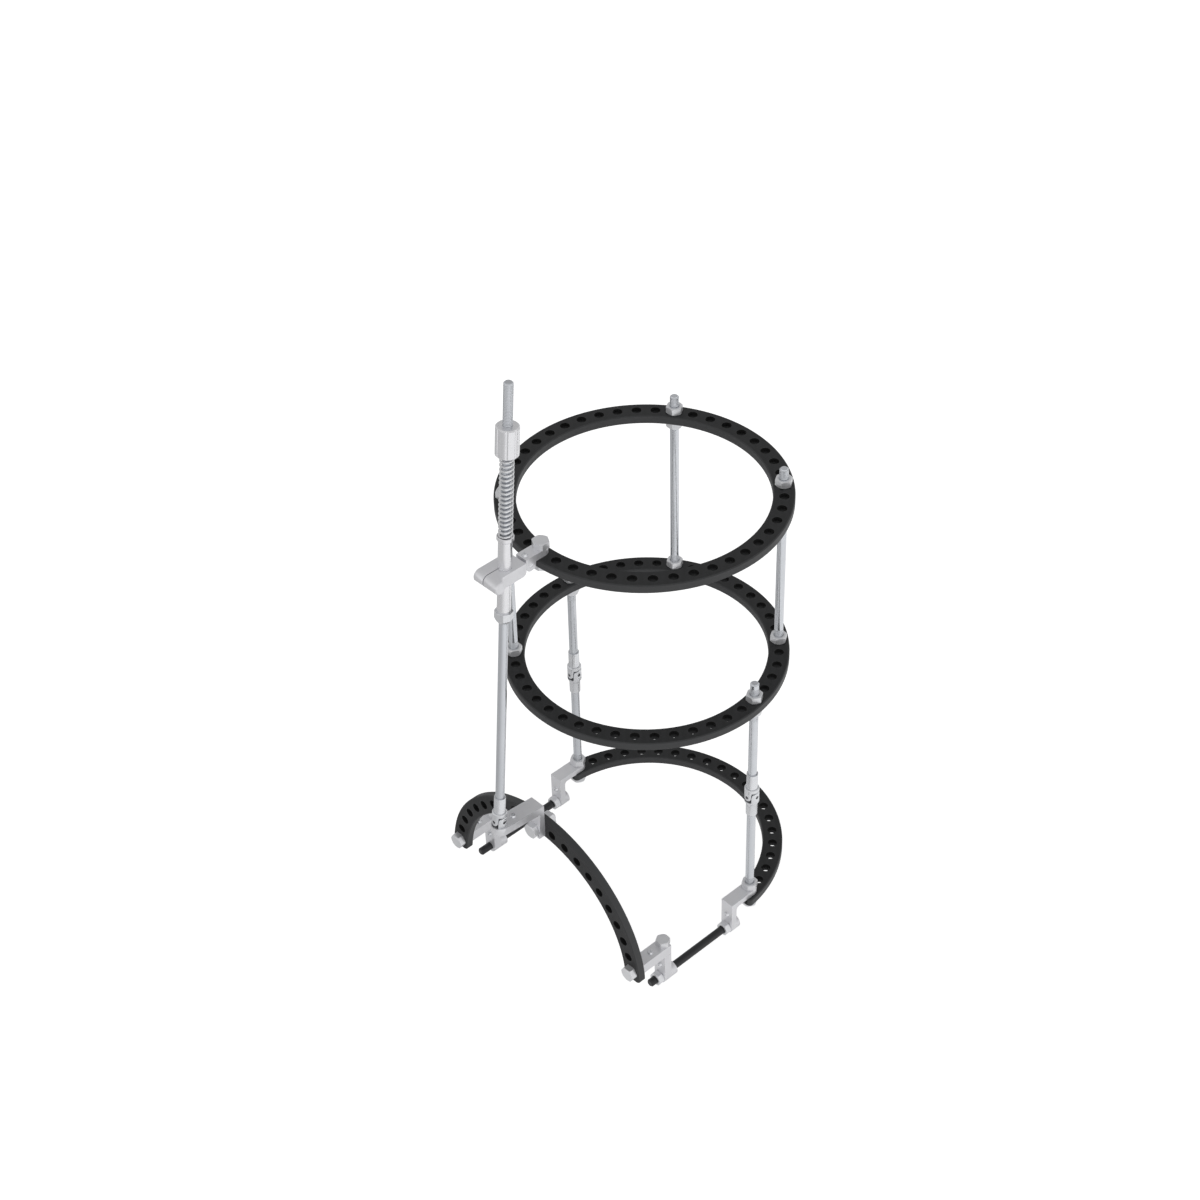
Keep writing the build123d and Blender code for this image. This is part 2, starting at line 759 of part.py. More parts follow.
with BuildPart() as foot_bracket_nut:
    nut(forward(0, arch_back_y + nut_height, arch_top_hole_z))
foot_bracket_nut.part.label = "foot_bracket_nut"
export_step(foot_bracket_nut.part, "parts/foot_bracket_nut.step")

# Screw in the foot bracket's top plate
with BuildPart() as foot_bracket_screw:
    lock_screw(foot_screw_plane)
foot_bracket_screw.part.label = "foot_bracket_screw"
export_step(foot_bracket_screw.part, "parts/foot_bracket_screw.step")

# Lower fork of the motor's joint, let into the foot bracket's plate
with BuildPart() as motor_fork:
    lower_ears(motor, -foot_plate_top)
    turned_profile(
        motor,
        [
            (0, foot_plate_top),
            (joint_r, foot_plate_top),
            (joint_r, foot_plate_top - fork_base_height),
            (fork_stud_r, foot_plate_top - fork_base_height),
            (fork_stud_r, plate_bottom),
            (0, plate_bottom),
        ],
    )
    hinge_pin_holes(motor, press_clearance)
motor_fork.part.label = "motor_fork"
export_step(motor_fork.part, "parts/motor_fork.step")

# Short pins in the fork's ears
with BuildPart() as motor_fork_pins:
    for side in (1, -1):
        pin_base = motor.origin + motor.x_dir * (side * fork_half_gap)
        pin_frame = Plane(origin=pin_base, z_dir=motor.x_dir * side)
        with BuildSketch(pin_frame):
            Circle(joint_pin_r)
        extrude(amount=joint_r - pin_recess - fork_half_gap)
motor_fork_pins.part.label = "motor_fork_pins"
export_step(motor_fork_pins.part, "parts/motor_fork_pins.step")

# Motor rod with its joint half
with BuildPart() as motor_yoke:
    upper_yoke(motor)
motor_yoke.part.label = "motor_yoke"
export_step(motor_yoke.part, "parts/motor_yoke.step")

with BuildPart() as motor_cross:
    joint_cross(motor, upper_ear_half_width)
motor_cross.part.label = "motor_cross"
export_step(motor_cross.part, "parts/motor_cross.step")

motor_rod_bottom = joint_collar_top - joint_rod_depth
with BuildPart() as motor_rod:
    rod(motor.offset(motor_rod_bottom), motor_rod_top - motor_rod_bottom)
motor_rod.part.label = "motor_rod"
export_step(motor_rod.part, "parts/motor_rod.step")

# Sleeve with the cup that seats the spring
rod_bore_r = rod_r + running_clearance
cup_floor = sleeve_top - cup_depth
with BuildPart() as motor_sleeve:
    turned_profile(
        motor,
        [
            (rod_bore_r, ring_level),
            (sleeve_r, ring_level),
            (sleeve_r, sleeve_top - cup_height - cup_wall),
            (cup_r, sleeve_top - cup_height + cup_wall),
            (cup_r, sleeve_top - cup_wall / 2),
            (cup_r - cup_wall / 2, sleeve_top),
            (cup_r - cup_wall, sleeve_top),
            (cup_r - cup_wall, cup_floor),
            (rod_bore_r, cup_floor),
        ],
    )
motor_sleeve.part.label = "motor_sleeve"
export_step(motor_sleeve.part, "parts/motor_sleeve.step")

# Spring between the cup and the knob
spring_start = cup_floor + spring_wire_r
spring_length = knob_bottom - running_clearance - 2 * spring_wire_r - cup_floor
with BuildPart() as motor_spring:
    with BuildLine() as coil:
        Helix(
            pitch=spring_pitch,
            height=spring_length,
            radius=spring_r,
            center=motor.offset(spring_start).origin,
            direction=motor.z_dir,
        )
    with BuildSketch(Plane(origin=coil.line @ 0, z_dir=coil.line % 0)):
        RegularPolygon(radius=spring_wire_r, side_count=6)
    sweep(path=coil.line, is_frenet=True)
motor_spring.part.label = "motor_spring"
export_step(motor_spring.part, "parts/motor_spring.step")

# Lower tube, from the collar nut up into the clamp block
with BuildPart() as lower_tube:
    with BuildSketch(motor.offset(lower_tube_bottom)):
        Circle(lower_tube_r)
        Circle(rod_bore_r, mode=Mode.SUBTRACT)
    extrude(amount=ring_level - lower_tube_bottom)
lower_tube.part.label = "lower_tube"
export_step(lower_tube.part, "parts/lower_tube.step")

# Collar nut below the tube
with BuildPart() as collar_nut:
    with BuildSketch(motor.offset(collar_bottom)):
        RegularPolygon(radius=collar_r, side_count=8)
    body = extrude(amount=lower_tube_bottom - collar_bottom)
    chamfer(body.faces().sort_by(motor_axis)[0].edges(), length=collar_taper, length2=collar_step_in)
    with BuildSketch(motor.offset(collar_bottom)):
        Circle(rod_bore_r)
    extrude(amount=lower_tube_bottom - collar_bottom, mode=Mode.SUBTRACT)
collar_nut.part.label = "collar_nut"
export_step(collar_nut.part, "parts/collar_nut.step")

# Fluted knob that drives the rod
with BuildPart() as knob:
    with BuildSketch(motor.offset(knob_bottom)):
        Circle(knob_r)
        with PolarLocations(knob_r + knob_flute_r / 3, knob_flutes):
            Circle(knob_flute_r, mode=Mode.SUBTRACT)
    body = extrude(amount=knob_height)
    chamfer(body.faces().sort_by(motor_axis)[0].outer_wire().edges(), length=knob_chamfer)
    with BuildSketch(motor.offset(knob_bottom)):
        Circle(rod_bore_r)
    extrude(amount=knob_height, mode=Mode.SUBTRACT)
knob.part.label = "knob"
export_step(knob.part, "parts/knob.step")

# Clamp block round the sleeve: slit rounded nose, inner side set back behind it, tongue for the pin
block_front_y = motor_top_y - block_front_reach
block_rear_y = motor_top_y + block_rear_reach
notch_front_y = block_front_y + nose_depth
with BuildPart() as clamp_block:
    with BuildSketch(Plane.YZ.offset(block_outer_x)) as side_profile:
        with Locations(((block_front_y + block_rear_y) / 2, block_low_z + block_height / 2)):
            Rectangle(block_rear_y - block_front_y, block_height)
        fillet(side_profile.vertices().sort_by(Axis.X)[:2], radius=block_nose_r)
        fillet(side_profile.vertices().group_by(Axis.X)[-1].sort_by(Axis.Y)[0], radius=block_heel_r)
    extrude(amount=block_inner_x - block_outer_x)
    with BuildSketch(Plane.XY.offset(block_low_z)) as notch:
        with Locations((notch_x, notch_front_y)):
            Rectangle(block_inner_x - notch_x, block_rear_y - notch_front_y, align=(Align.MIN, Align.MIN))
        fillet(notch.vertices().sort_by(Axis.X)[:2].sort_by(Axis.Y)[0], radius=notch_r)
    extrude(amount=block_height, mode=Mode.SUBTRACT)
    inner_edges = clamp_block.edges().filter_by(Axis.Y).group_by(Axis.Z)[-1]
    chamfer(inner_edges.sort_by(Axis.X)[-1], length=notch_edge)
    with BuildSketch(Plane.YZ.offset(-swivel_lug_half_width)):
        with Locations((swivel_y, swivel_z)):
            Circle(swivel_lug_r)
        with Locations(((swivel_y + block_rear_y) / 2 - block_heel_r / 2, swivel_z)):
            Rectangle(swivel_y - block_rear_y + block_heel_r, tongue_height)
    extrude(amount=2 * swivel_lug_half_width)
    with BuildSketch(Plane.YZ):
        with Locations((swivel_y, swivel_z)):
            Circle(swivel_pin_r + running_clearance)
    extrude(amount=swivel_slot_half_width, both=True, mode=Mode.SUBTRACT)
    with BuildSketch(motor.offset(ring_level)):
        Circle(sleeve_r + press_clearance)
    extrude(amount=block_height, both=True, mode=Mode.SUBTRACT)
    with BuildSketch(Plane.XY.offset(block_low_z)):
        with Locations((block_slit_x, block_front_y + block_front_reach / 2)):
            Rectangle(block_slit, block_front_reach)
    extrude(amount=block_height, mode=Mode.SUBTRACT)
clamp_block.part.label = "clamp_block"
export_step(clamp_block.part, "parts/clamp_block.step")

# Bracket on the upper ring, with two ears for the swivel pin
with BuildPart() as ring_bracket:
    bracket_front_y = swivel_y - swivel_lug_r
    with BuildSketch(Plane.XY):
        with Locations((0, -hole_circle_r)):
            Circle(ring_bracket_width / 2)
        with Locations((0, (bracket_front_y - hole_circle_r) / 2)):
            Rectangle(ring_bracket_width, -hole_circle_r - bracket_front_y)
    body = extrude(amount=ring_bracket_thickness)
    with BuildSketch(Plane.YZ.offset(-ring_bracket_width / 2)):
        with Locations((swivel_y, swivel_z)):
            Circle(swivel_lug_r)
        with Locations((swivel_y, swivel_z + (ring_bracket_thickness - swivel_z) / 2)):
            Rectangle(2 * swivel_lug_r, ring_bracket_thickness - swivel_z)
    extrude(amount=ring_bracket_width)
    with BuildSketch(Plane.YZ.offset(-swivel_slot_half_width)):
        with Locations((swivel_y, swivel_z)):
            Circle(swivel_lug_r + swivel_clearance)
        with Locations((swivel_y - swivel_lug_r, swivel_z)):
            Rectangle(2 * swivel_lug_r, 2 * (swivel_lug_r + swivel_clearance))
        with Locations((swivel_y, swivel_z - swivel_lug_r)):
            Rectangle(2 * (swivel_lug_r + swivel_clearance), 2 * swivel_lug_r)
    extrude(amount=2 * swivel_slot_half_width, mode=Mode.SUBTRACT)
    with BuildSketch(Plane.YZ.offset(-ring_bracket_width / 2)):
        with Locations((swivel_y, swivel_z)):
            Circle(swivel_pin_r + press_clearance)
    extrude(amount=ring_bracket_width, mode=Mode.SUBTRACT)
    drill(upright(0, -hole_circle_r, 0), ring_hole_r, ring_bracket_thickness)
    lock_screw_hole(upright(0, swivel_y - swivel_screw_setback, ring_bracket_thickness))
ring_bracket.part.label = "ring_bracket"
export_step(ring_bracket.part, "parts/ring_bracket.step")

# Bolt of the ring bracket
with BuildPart() as ring_bracket_bolt:
    bolt(
        upright(0, -hole_circle_r, ring_bracket_thickness),
        bolt_head_height,
        ring_bracket_thickness + ring_thickness + nut_height + bolt_end_stand_out,
    )
ring_bracket_bolt.part.label = "ring_bracket_bolt"
export_step(ring_bracket_bolt.part, "parts/ring_bracket_bolt.step")

# Screw that locks the swivel
with BuildPart() as swivel_screw:
    lock_screw(upright(0, swivel_y - swivel_screw_setback, ring_bracket_thickness))
swivel_screw.part.label = "swivel_screw"
export_step(swivel_screw.part, "parts/swivel_screw.step")

# Swivel pin
with BuildPart() as swivel_pin:
    with BuildSketch(Plane.YZ):
        with Locations((swivel_y, swivel_z)):
            Circle(swivel_pin_r)
    extrude(amount=ring_bracket_width / 2 - pin_recess, both=True)
swivel_pin.part.label = "swivel_pin"
export_step(swivel_pin.part, "parts/swivel_pin.step")
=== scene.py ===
import json
import math

import bmesh
import bpy
from mathutils import Matrix, Vector


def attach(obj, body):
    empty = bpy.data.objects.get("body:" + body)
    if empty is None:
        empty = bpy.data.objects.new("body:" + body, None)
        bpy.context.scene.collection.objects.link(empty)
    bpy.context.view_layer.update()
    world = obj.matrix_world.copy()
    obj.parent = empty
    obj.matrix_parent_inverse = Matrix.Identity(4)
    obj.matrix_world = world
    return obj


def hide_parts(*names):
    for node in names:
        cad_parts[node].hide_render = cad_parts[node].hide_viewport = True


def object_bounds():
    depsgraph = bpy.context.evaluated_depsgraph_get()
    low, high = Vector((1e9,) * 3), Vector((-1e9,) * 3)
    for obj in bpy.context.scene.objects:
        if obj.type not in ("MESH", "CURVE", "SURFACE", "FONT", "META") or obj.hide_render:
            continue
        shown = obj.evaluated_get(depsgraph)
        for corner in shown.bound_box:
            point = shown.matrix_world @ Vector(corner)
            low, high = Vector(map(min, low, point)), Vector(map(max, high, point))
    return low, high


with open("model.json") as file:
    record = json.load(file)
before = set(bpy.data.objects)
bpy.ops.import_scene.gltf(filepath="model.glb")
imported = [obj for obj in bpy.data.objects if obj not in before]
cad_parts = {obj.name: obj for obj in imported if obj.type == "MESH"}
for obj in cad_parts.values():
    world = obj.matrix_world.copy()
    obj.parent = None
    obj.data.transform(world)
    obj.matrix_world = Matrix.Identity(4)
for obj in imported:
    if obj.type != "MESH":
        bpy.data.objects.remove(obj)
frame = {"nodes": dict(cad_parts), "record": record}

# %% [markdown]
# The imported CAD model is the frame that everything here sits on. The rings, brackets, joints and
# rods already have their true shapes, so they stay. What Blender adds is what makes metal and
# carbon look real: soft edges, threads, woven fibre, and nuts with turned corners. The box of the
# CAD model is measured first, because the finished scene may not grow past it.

cad_low, cad_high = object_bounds()
print("cad box", [round(v, 4) for v in cad_low], [round(v, 4) for v in cad_high])


def deselect_everything():
    """Leave object mode's selection empty, because an operator acts on all that is selected."""
    if bpy.context.mode != "OBJECT":
        bpy.ops.object.mode_set(mode="OBJECT")
    bpy.ops.object.select_all(action="DESELECT")


# %% [markdown]
# The camera stands in front of the foot, on the inner side of the leg, and looks down on the
# rings. Its place and lens were worked out from the circles of the two full rings, so that the
# render can be laid over a picture from the same place.

# %% Camera
camera_data = bpy.data.cameras.new("camera")
camera_data.sensor_width = 36.0
camera_data.lens = 70.898
camera = bpy.data.objects.new("camera", camera_data)
camera.location = (0.853224, -0.819441, 0.890958)
camera.rotation_euler = (0.8791707, 0.0221002, 0.8123845)
bpy.context.collection.objects.link(camera)
bpy.context.scene.camera = camera
bpy.context.scene.view_settings.view_transform = "Standard"
print("camera at", [round(v, 3) for v in camera.location], "lens", camera_data.lens)

# %% [markdown]
# Materials are built from small node trees. A few helpers keep the cells short. The first one
# wires a socket to another node's result, or writes a plain number into it. The next one makes a
# math node and hands back its result, so that a formula reads like a formula. An effect that
# several materials share is a node group. It gives only masks and values, and the material
# decides what they do to its colour, roughness or height.


# %% Helpers for node trees
def feed(tree, socket, value):
    """Wire another node's output to a socket, or write a plain value into it."""
    if isinstance(value, bpy.types.NodeSocket):
        tree.links.new(value, socket)
    else:
        socket.default_value = value


def calc(tree, operation, *values):
    """A math node; returns its result."""
    node = tree.nodes.new("ShaderNodeMath")
    node.operation = operation
    for socket, value in zip(node.inputs, values):
        feed(tree, socket, value)
    return node.outputs[0]


def weigh(tree, first, share, second, other_share):
    """The first value times its share, plus the second one times its own."""
    part = calc(tree, "MULTIPLY", first, share)
    rest = calc(tree, "MULTIPLY", second, other_share)
    return calc(tree, "ADD", part, rest)


def remap(tree, value, low, high, to_low, to_high):
    """Map a range of numbers to another one, held inside its ends."""
    node = tree.nodes.new("ShaderNodeMapRange")
    feed(tree, node.inputs["Value"], value)
    ends = {"From Min": low, "From Max": high, "To Min": to_low, "To Max": to_high}
    for name, number in ends.items():
        feed(tree, node.inputs[name], number)
    return node.outputs["Result"]


def blend_colours(tree, share, first, second):
    """Mix two colours; share 0 gives the first one."""
    node = tree.nodes.new("ShaderNodeMix")
    node.data_type = "RGBA"
    feed(tree, node.inputs[0], share)
    feed(tree, node.inputs[6], first)
    feed(tree, node.inputs[7], second)
    return node.outputs[2]


def noise(tree, vector, scale, detail=2.0, roughness=0.5):
    """A noise texture's grey value."""
    node = tree.nodes.new("ShaderNodeTexNoise")
    feed(tree, node.inputs["Vector"], vector)
    feed(tree, node.inputs["Scale"], scale)
    node.inputs["Detail"].default_value = detail
    node.inputs["Roughness"].default_value = roughness
    return node.outputs["Fac"]


def stretch(tree, vector, scale, turn=(0.0, 0.0, 0.0)):
    """Turn a vector about the three axes, then scale each of them."""
    node = tree.nodes.new("ShaderNodeMapping")
    feed(tree, node.inputs["Vector"], vector)
    node.inputs["Rotation"].default_value = turn
    node.inputs["Scale"].default_value = scale
    return node.outputs["Vector"]


def split(tree, vector):
    """The x, y and z of a vector."""
    node = tree.nodes.new("ShaderNodeSeparateXYZ")
    feed(tree, node.inputs[0], vector)
    return node.outputs[0], node.outputs[1], node.outputs[2]


def effect_group(name, inputs, outputs):
    """A new node group; returns its tree, what it is given and the sockets for its results."""
    group = bpy.data.node_groups.new(name, "ShaderNodeTree")
    for label, kind, value in inputs:
        socket = group.interface.new_socket(label, in_out="INPUT", socket_type=kind)
        if value is not None:
            socket.default_value = value
    for label in outputs:
        group.interface.new_socket(label, in_out="OUTPUT", socket_type="NodeSocketFloat")
    start = group.nodes.new("NodeGroupInput")
    end = group.nodes.new("NodeGroupOutput")
    print("effect", name)
    return group, start.outputs, end.inputs


def use_effect(tree, group, **values):
    """Place an effect group in a material; returns its outputs."""
    node = tree.nodes.new("ShaderNodeGroup")
    node.node_tree = group
    for name, value in values.items():
        feed(tree, node.inputs[name.replace("_", " ").capitalize()], value)
    return node.outputs


# %% [markdown]
# A metal part shows its surroundings more than itself, so the studio is built for reflections.
# The world is one big soft light: full strength in front, where a photographer's screens would
# stand, weaker straight above and behind. That gives every rod a bright middle and darker sides.
# A ray that comes straight from the camera sees plain white instead, and a mirrored ray never
# sees less than a middle grey, so that the metal shows the white room and not a hole in it.

# %% Studio world
world = bpy.data.worlds.new("studio")
bpy.context.scene.world = world
world.use_nodes = True
studio = world.node_tree
backdrop = studio.nodes["Background"]
direction = studio.nodes.new("ShaderNodeTexCoord").outputs["Generated"]
to_front = studio.nodes.new("ShaderNodeVectorMath")
to_front.operation = "DOT_PRODUCT"
studio.links.new(direction, to_front.inputs[0])
to_front.inputs[1].default_value = (0.72, -0.69, 0.0)
front = remap(studio, to_front.outputs["Value"], -0.7, 0.35, 0.6, 1.0)
above = remap(studio, split(studio, direction)[2], 0.25, 0.8, 1.0, 0.65)
ray = studio.nodes.new("ShaderNodeLightPath")
mirrored = calc(studio, "MAXIMUM", ray.outputs["Is Glossy Ray"], ray.outputs["Is Transmission Ray"])
least_mirrored = 0.5
least = calc(studio, "MULTIPLY", mirrored, least_mirrored)
seen = calc(studio, "MAXIMUM", ray.outputs["Is Camera Ray"], least)
level = calc(studio, "MULTIPLY", front, above)
level = calc(studio, "MAXIMUM", level, seen)
backdrop.inputs["Color"].default_value = (1, 1, 1, 1)
feed(studio, backdrop.inputs["Strength"], level)
print("world", world.name, "with", len(studio.nodes), "nodes")

# %% [markdown]
# The floor is a plain white sheet a little under the lowest piece, so that the foot part can
# swing down without diving into it. Lit by a soft sky alone it would come out light grey. So for
# the camera it also glows a little by itself, which lifts it to white and still lets the soft
# shadows show. Seen from above, an upright rod mirrors hardly anything but this floor. So the
# glow that mirrored rays see grows from one side to the other, and every rod gets a darker and a
# brighter side from it.

# %% Floor
deselect_everything()
swing_room = 0.025
bpy.ops.mesh.primitive_plane_add(size=8.0, location=(0, 0, cad_low[2] - swing_room))
floor = bpy.context.object
floor.name = "floor"
floor_sheet = bpy.data.materials.new("floor_sheet")
floor_sheet.use_nodes = True
tree = floor_sheet.node_tree
sheet = tree.nodes["Principled BSDF"]
sheet.inputs["Base Color"].default_value = (0.8, 0.8, 0.8, 1.0)
sheet.inputs["Roughness"].default_value = 0.9
sheet.inputs["Specular IOR Level"].default_value = 0.1
sheet.inputs["Emission Color"].default_value = (1, 1, 1, 1)
ray = tree.nodes.new("ShaderNodeLightPath")
mirrored = calc(tree, "MAXIMUM", ray.outputs["Is Glossy Ray"], ray.outputs["Is Transmission Ray"])
place = tree.nodes.new("ShaderNodeTexCoord").outputs["Object"]
across = tree.nodes.new("ShaderNodeVectorMath")
across.operation = "DOT_PRODUCT"
tree.links.new(place, across.inputs[0])
across.inputs[1].default_value = (0.9, 0.45, 0.0)
camera_glow = 0.62
side_glow = 0.5
reach = 0.25
bright_side = remap(tree, across.outputs["Value"], -reach, reach, 0.0, side_glow)
glow = weigh(tree, ray.outputs["Is Camera Ray"], camera_glow, mirrored, bright_side)
feed(tree, sheet.inputs["Emission Strength"], glow)
floor.data.materials.append(floor_sheet)
print("floor", round(swing_room * 1000), "mm under the lowest piece")

# %% [markdown]
# Machined metal is never even. Handling leaves soft cloudy patches, and the tool leaves fine
# lines. Both could be painted as pictures, but noise does it without any file and at every scale.
# The clouds are plain noise, and the tool lines are noise that is squeezed along one axis, so the
# same effect serves a turned collar, where the lines run round, and a milled bracket.

# %% Effect: machined grain
grain_effect, given, result = effect_group(
    "machined_grain",
    [
        ("Vector", "NodeSocketVector", None),
        ("Line scale", "NodeSocketFloat", 9000.0),
        ("Cloud scale", "NodeSocketFloat", 90.0),
    ],
    ["Lines", "Clouds"],
)
squeezed = stretch(grain_effect, given["Vector"], (0.04, 0.04, 1.0))
lines = noise(grain_effect, squeezed, given["Line scale"], detail=3.0, roughness=0.6)
clouds = noise(grain_effect, given["Vector"], given["Cloud scale"], detail=4.0, roughness=0.55)
feed(grain_effect, result["Lines"], lines)
feed(grain_effect, result["Clouds"], clouds)

# %% [markdown]
# Edges are where hands, wrenches and trays touch a part, so they are the first to be polished,
# and a thin edge catches the light; the materials paint both the wear and that highlight as a paler
# edge. Cycles can round a normal inside a small radius; where that rounded normal and the true one
# disagree, the point is near an edge. A little noise breaks the band so that it is not a
# drawn line.

# %% Effect: worn and highlit edges
wear_and_highlight_effect, given, result = effect_group(
    "worn_and_highlit_edges",
    [("Vector", "NodeSocketVector", None), ("Patch scale", "NodeSocketFloat", 400.0)],
    ["Mask"],
)
rounded = wear_and_highlight_effect.nodes.new("ShaderNodeBevel")
rounded.samples = 4
rounded.inputs["Radius"].default_value = 0.0005
true_normal = wear_and_highlight_effect.nodes.new("ShaderNodeNewGeometry")
agreement = wear_and_highlight_effect.nodes.new("ShaderNodeVectorMath")
agreement.operation = "DOT_PRODUCT"
wear_and_highlight_effect.links.new(rounded.outputs["Normal"], agreement.inputs[0])
wear_and_highlight_effect.links.new(true_normal.outputs["Normal"], agreement.inputs[1])
near_edge = remap(wear_and_highlight_effect, agreement.outputs["Value"], 0.995, 0.85, 0.0, 1.0)
broken_up = noise(wear_and_highlight_effect, given["Vector"], given["Patch scale"])
patches = remap(wear_and_highlight_effect, broken_up, 0.3, 0.6, 0.3, 1.0)
feed(wear_and_highlight_effect, result["Mask"], calc(wear_and_highlight_effect, "MULTIPLY", near_edge, patches))

# %% [markdown]
# The rods carry a metric thread with a pitch of one millimetre. Modelling every turn would take
# more faces than all the rest, and from a step away it would only shimmer. So the turns are a
# height pattern along the rod: a triangle wave for the flanks, flattened at the crests as a
# rolled thread is. The effect gives the height for a bump, and the depth of the groove, by which
# the colour is darkened in the grooves. Rods are threaded only where nuts run, so a second effect
# marks a stretch along the rod.

# %% Effect: thread
thread_effect, given, result = effect_group(
    "thread",
    [("Vector", "NodeSocketVector", None), ("Pitch", "NodeSocketFloat", 0.001)],
    ["Height", "Groove"],
)
along = split(thread_effect, given["Vector"])[2]
turns = calc(thread_effect, "DIVIDE", along, given["Pitch"])
flank = calc(thread_effect, "PINGPONG", turns, 0.5)
height = remap(thread_effect, flank, 0.06, 0.42, 0.0, 1.0)
feed(thread_effect, result["Height"], height)
feed(thread_effect, result["Groove"], remap(thread_effect, height, 0.0, 0.5, 1.0, 0.0))

stretch_effect, given, result = effect_group(
    "stretch_of_rod",
    [
        ("Vector", "NodeSocketVector", None),
        ("Low", "NodeSocketFloat", 0.0),
        ("High", "NodeSocketFloat", 0.0),
    ],
    ["Mask"],
)
along = split(stretch_effect, given["Vector"])[2]
above_low = calc(stretch_effect, "GREATER_THAN", along, given["Low"])
below_high = calc(stretch_effect, "LESS_THAN", along, given["High"])
feed(stretch_effect, result["Mask"], calc(stretch_effect, "MULTIPLY", above_low, below_high))

# %% [markdown]
# The rings are cut from a plate of woven carbon in resin. In a twill each bundle of fibres goes
# over two others and under two, and every row starts one bundle later, which draws the slanting
# steps. A formula gives that order: add the row's and the column's number and look at the rest
# after division by four. On the cut edge the plies show as thin layers instead, so the pattern
# changes with the direction that the face looks.

# %% Effect: carbon twill
twill_effect, given, result = effect_group(
    "carbon_twill",
    [
        ("Vector", "NodeSocketVector", None),
        ("Normal", "NodeSocketVector", None),
        ("Bundle", "NodeSocketFloat", 0.0018),
        ("Ply", "NodeSocketFloat", 0.0005),
    ],
    ["Tone", "Height", "Cut face"],
)
x, y, z = split(twill_effect, given["Vector"])
column = calc(twill_effect, "DIVIDE", x, given["Bundle"])
row = calc(twill_effect, "DIVIDE", y, given["Bundle"])
whole_steps = [calc(twill_effect, "FLOOR", steps) for steps in (column, row)]
order = calc(twill_effect, "ADD", *whole_steps)
over = calc(twill_effect, "LESS_THAN", calc(twill_effect, "FLOORED_MODULO", order, 4.0), 2.0)
under = calc(twill_effect, "SUBTRACT", 1.0, over)

crowns = []
for steps in (column, row):
    half_turn = calc(twill_effect, "MULTIPLY", calc(twill_effect, "FRACT", steps), math.pi)
    crowns.append(calc(twill_effect, "SINE", half_turn))
crown = weigh(twill_effect, over, crowns[0], under, crowns[1])

strand_scale = 7000.0
strands = []
for squeeze in ((1.0, 0.03, 0.2), (0.03, 1.0, 0.2)):
    drawn_out = stretch(twill_effect, given["Vector"], squeeze)
    strands.append(noise(twill_effect, drawn_out, strand_scale, detail=1.0))
tone_over = remap(twill_effect, strands[0], 0.3, 0.7, 0.55, 1.0)
tone_under = remap(twill_effect, strands[1], 0.3, 0.7, 0.15, 0.6)
woven = weigh(twill_effect, over, tone_over, under, tone_under)

plies = calc(twill_effect, "PINGPONG", calc(twill_effect, "DIVIDE", z, given["Ply"]), 0.5)
smear = noise(twill_effect, stretch(twill_effect, given["Vector"], (1.0, 1.0, 6.0)), 900.0)
layered = weigh(twill_effect, plies, 1.2, smear, 0.6)

facing = calc(twill_effect, "ABSOLUTE", split(twill_effect, given["Normal"])[2])
cut_face = remap(twill_effect, facing, 0.85, 0.6, 0.0, 1.0)
flat_face = calc(twill_effect, "SUBTRACT", 1.0, cut_face)
feed(twill_effect, result["Tone"], weigh(twill_effect, flat_face, woven, cut_face, layered))
feed(twill_effect, result["Height"], weigh(twill_effect, flat_face, crown, cut_face, plies))
feed(twill_effect, result["Cut face"], cut_face)

# %% [markdown]
# The drill leaves the walls of the holes rough, so they are given more roughness. Their colour is
# painted darker than the plate's outer rims, as painted shade for the little light that falls in.
# They all lie on one circle, so their distance from the ring's middle tells them from the rims:
# nothing but a hole is that near to the hole circle. Near the lower end of a hole the white floor
# shines in from below, so the walls are painted paler there, as a painted glow of floor light.

# %% Effect: drilled holes
drilled_effect, given, result = effect_group(
    "drilled_holes",
    [("Vector", "NodeSocketVector", None), ("Circle", "NodeSocketFloat", 0.0875)],
    ["Mask", "Lower end"],
)
x, y, z = split(drilled_effect, given["Vector"])
from_middle = calc(drilled_effect, "SQRT", weigh(drilled_effect, x, x, y, y))
away = calc(drilled_effect, "SUBTRACT", from_middle, given["Circle"])
away = calc(drilled_effect, "ABSOLUTE", away)
hole_band = 0.0045
feed(drilled_effect, result["Mask"], calc(drilled_effect, "LESS_THAN", away, hole_band))
feed(drilled_effect, result["Lower end"], remap(drilled_effect, z, -0.0025, -0.0045, 0.0, 1.0))

# %% [markdown]
# A material starts from one Principled shader. What is the same all over, such as metal or not,
# is a plain number on the shader. What varies is wired in. This helper makes the empty material
# with its coordinates, and a second one adds the bump.


# %% Helpers for materials
def new_material(name, metallic):
    """An empty material; returns it with its tree, shader and object coordinates."""
    material = bpy.data.materials.new(name)
    material.use_nodes = True
    tree = material.node_tree
    shader = tree.nodes["Principled BSDF"]
    shader.inputs["Metallic"].default_value = metallic
    place = tree.nodes.new("ShaderNodeTexCoord")
    print("material", name)
    return material, tree, shader, place


def bump(tree, shader, height, distance, strength=1.0):
    """Wire a height pattern to the shader's normal."""
    node = tree.nodes.new("ShaderNodeBump")
    node.inputs["Strength"].default_value = strength
    node.inputs["Distance"].default_value = distance
    feed(tree, node.inputs["Height"], height)
    tree.links.new(node.outputs["Normal"], shader.inputs["Normal"])
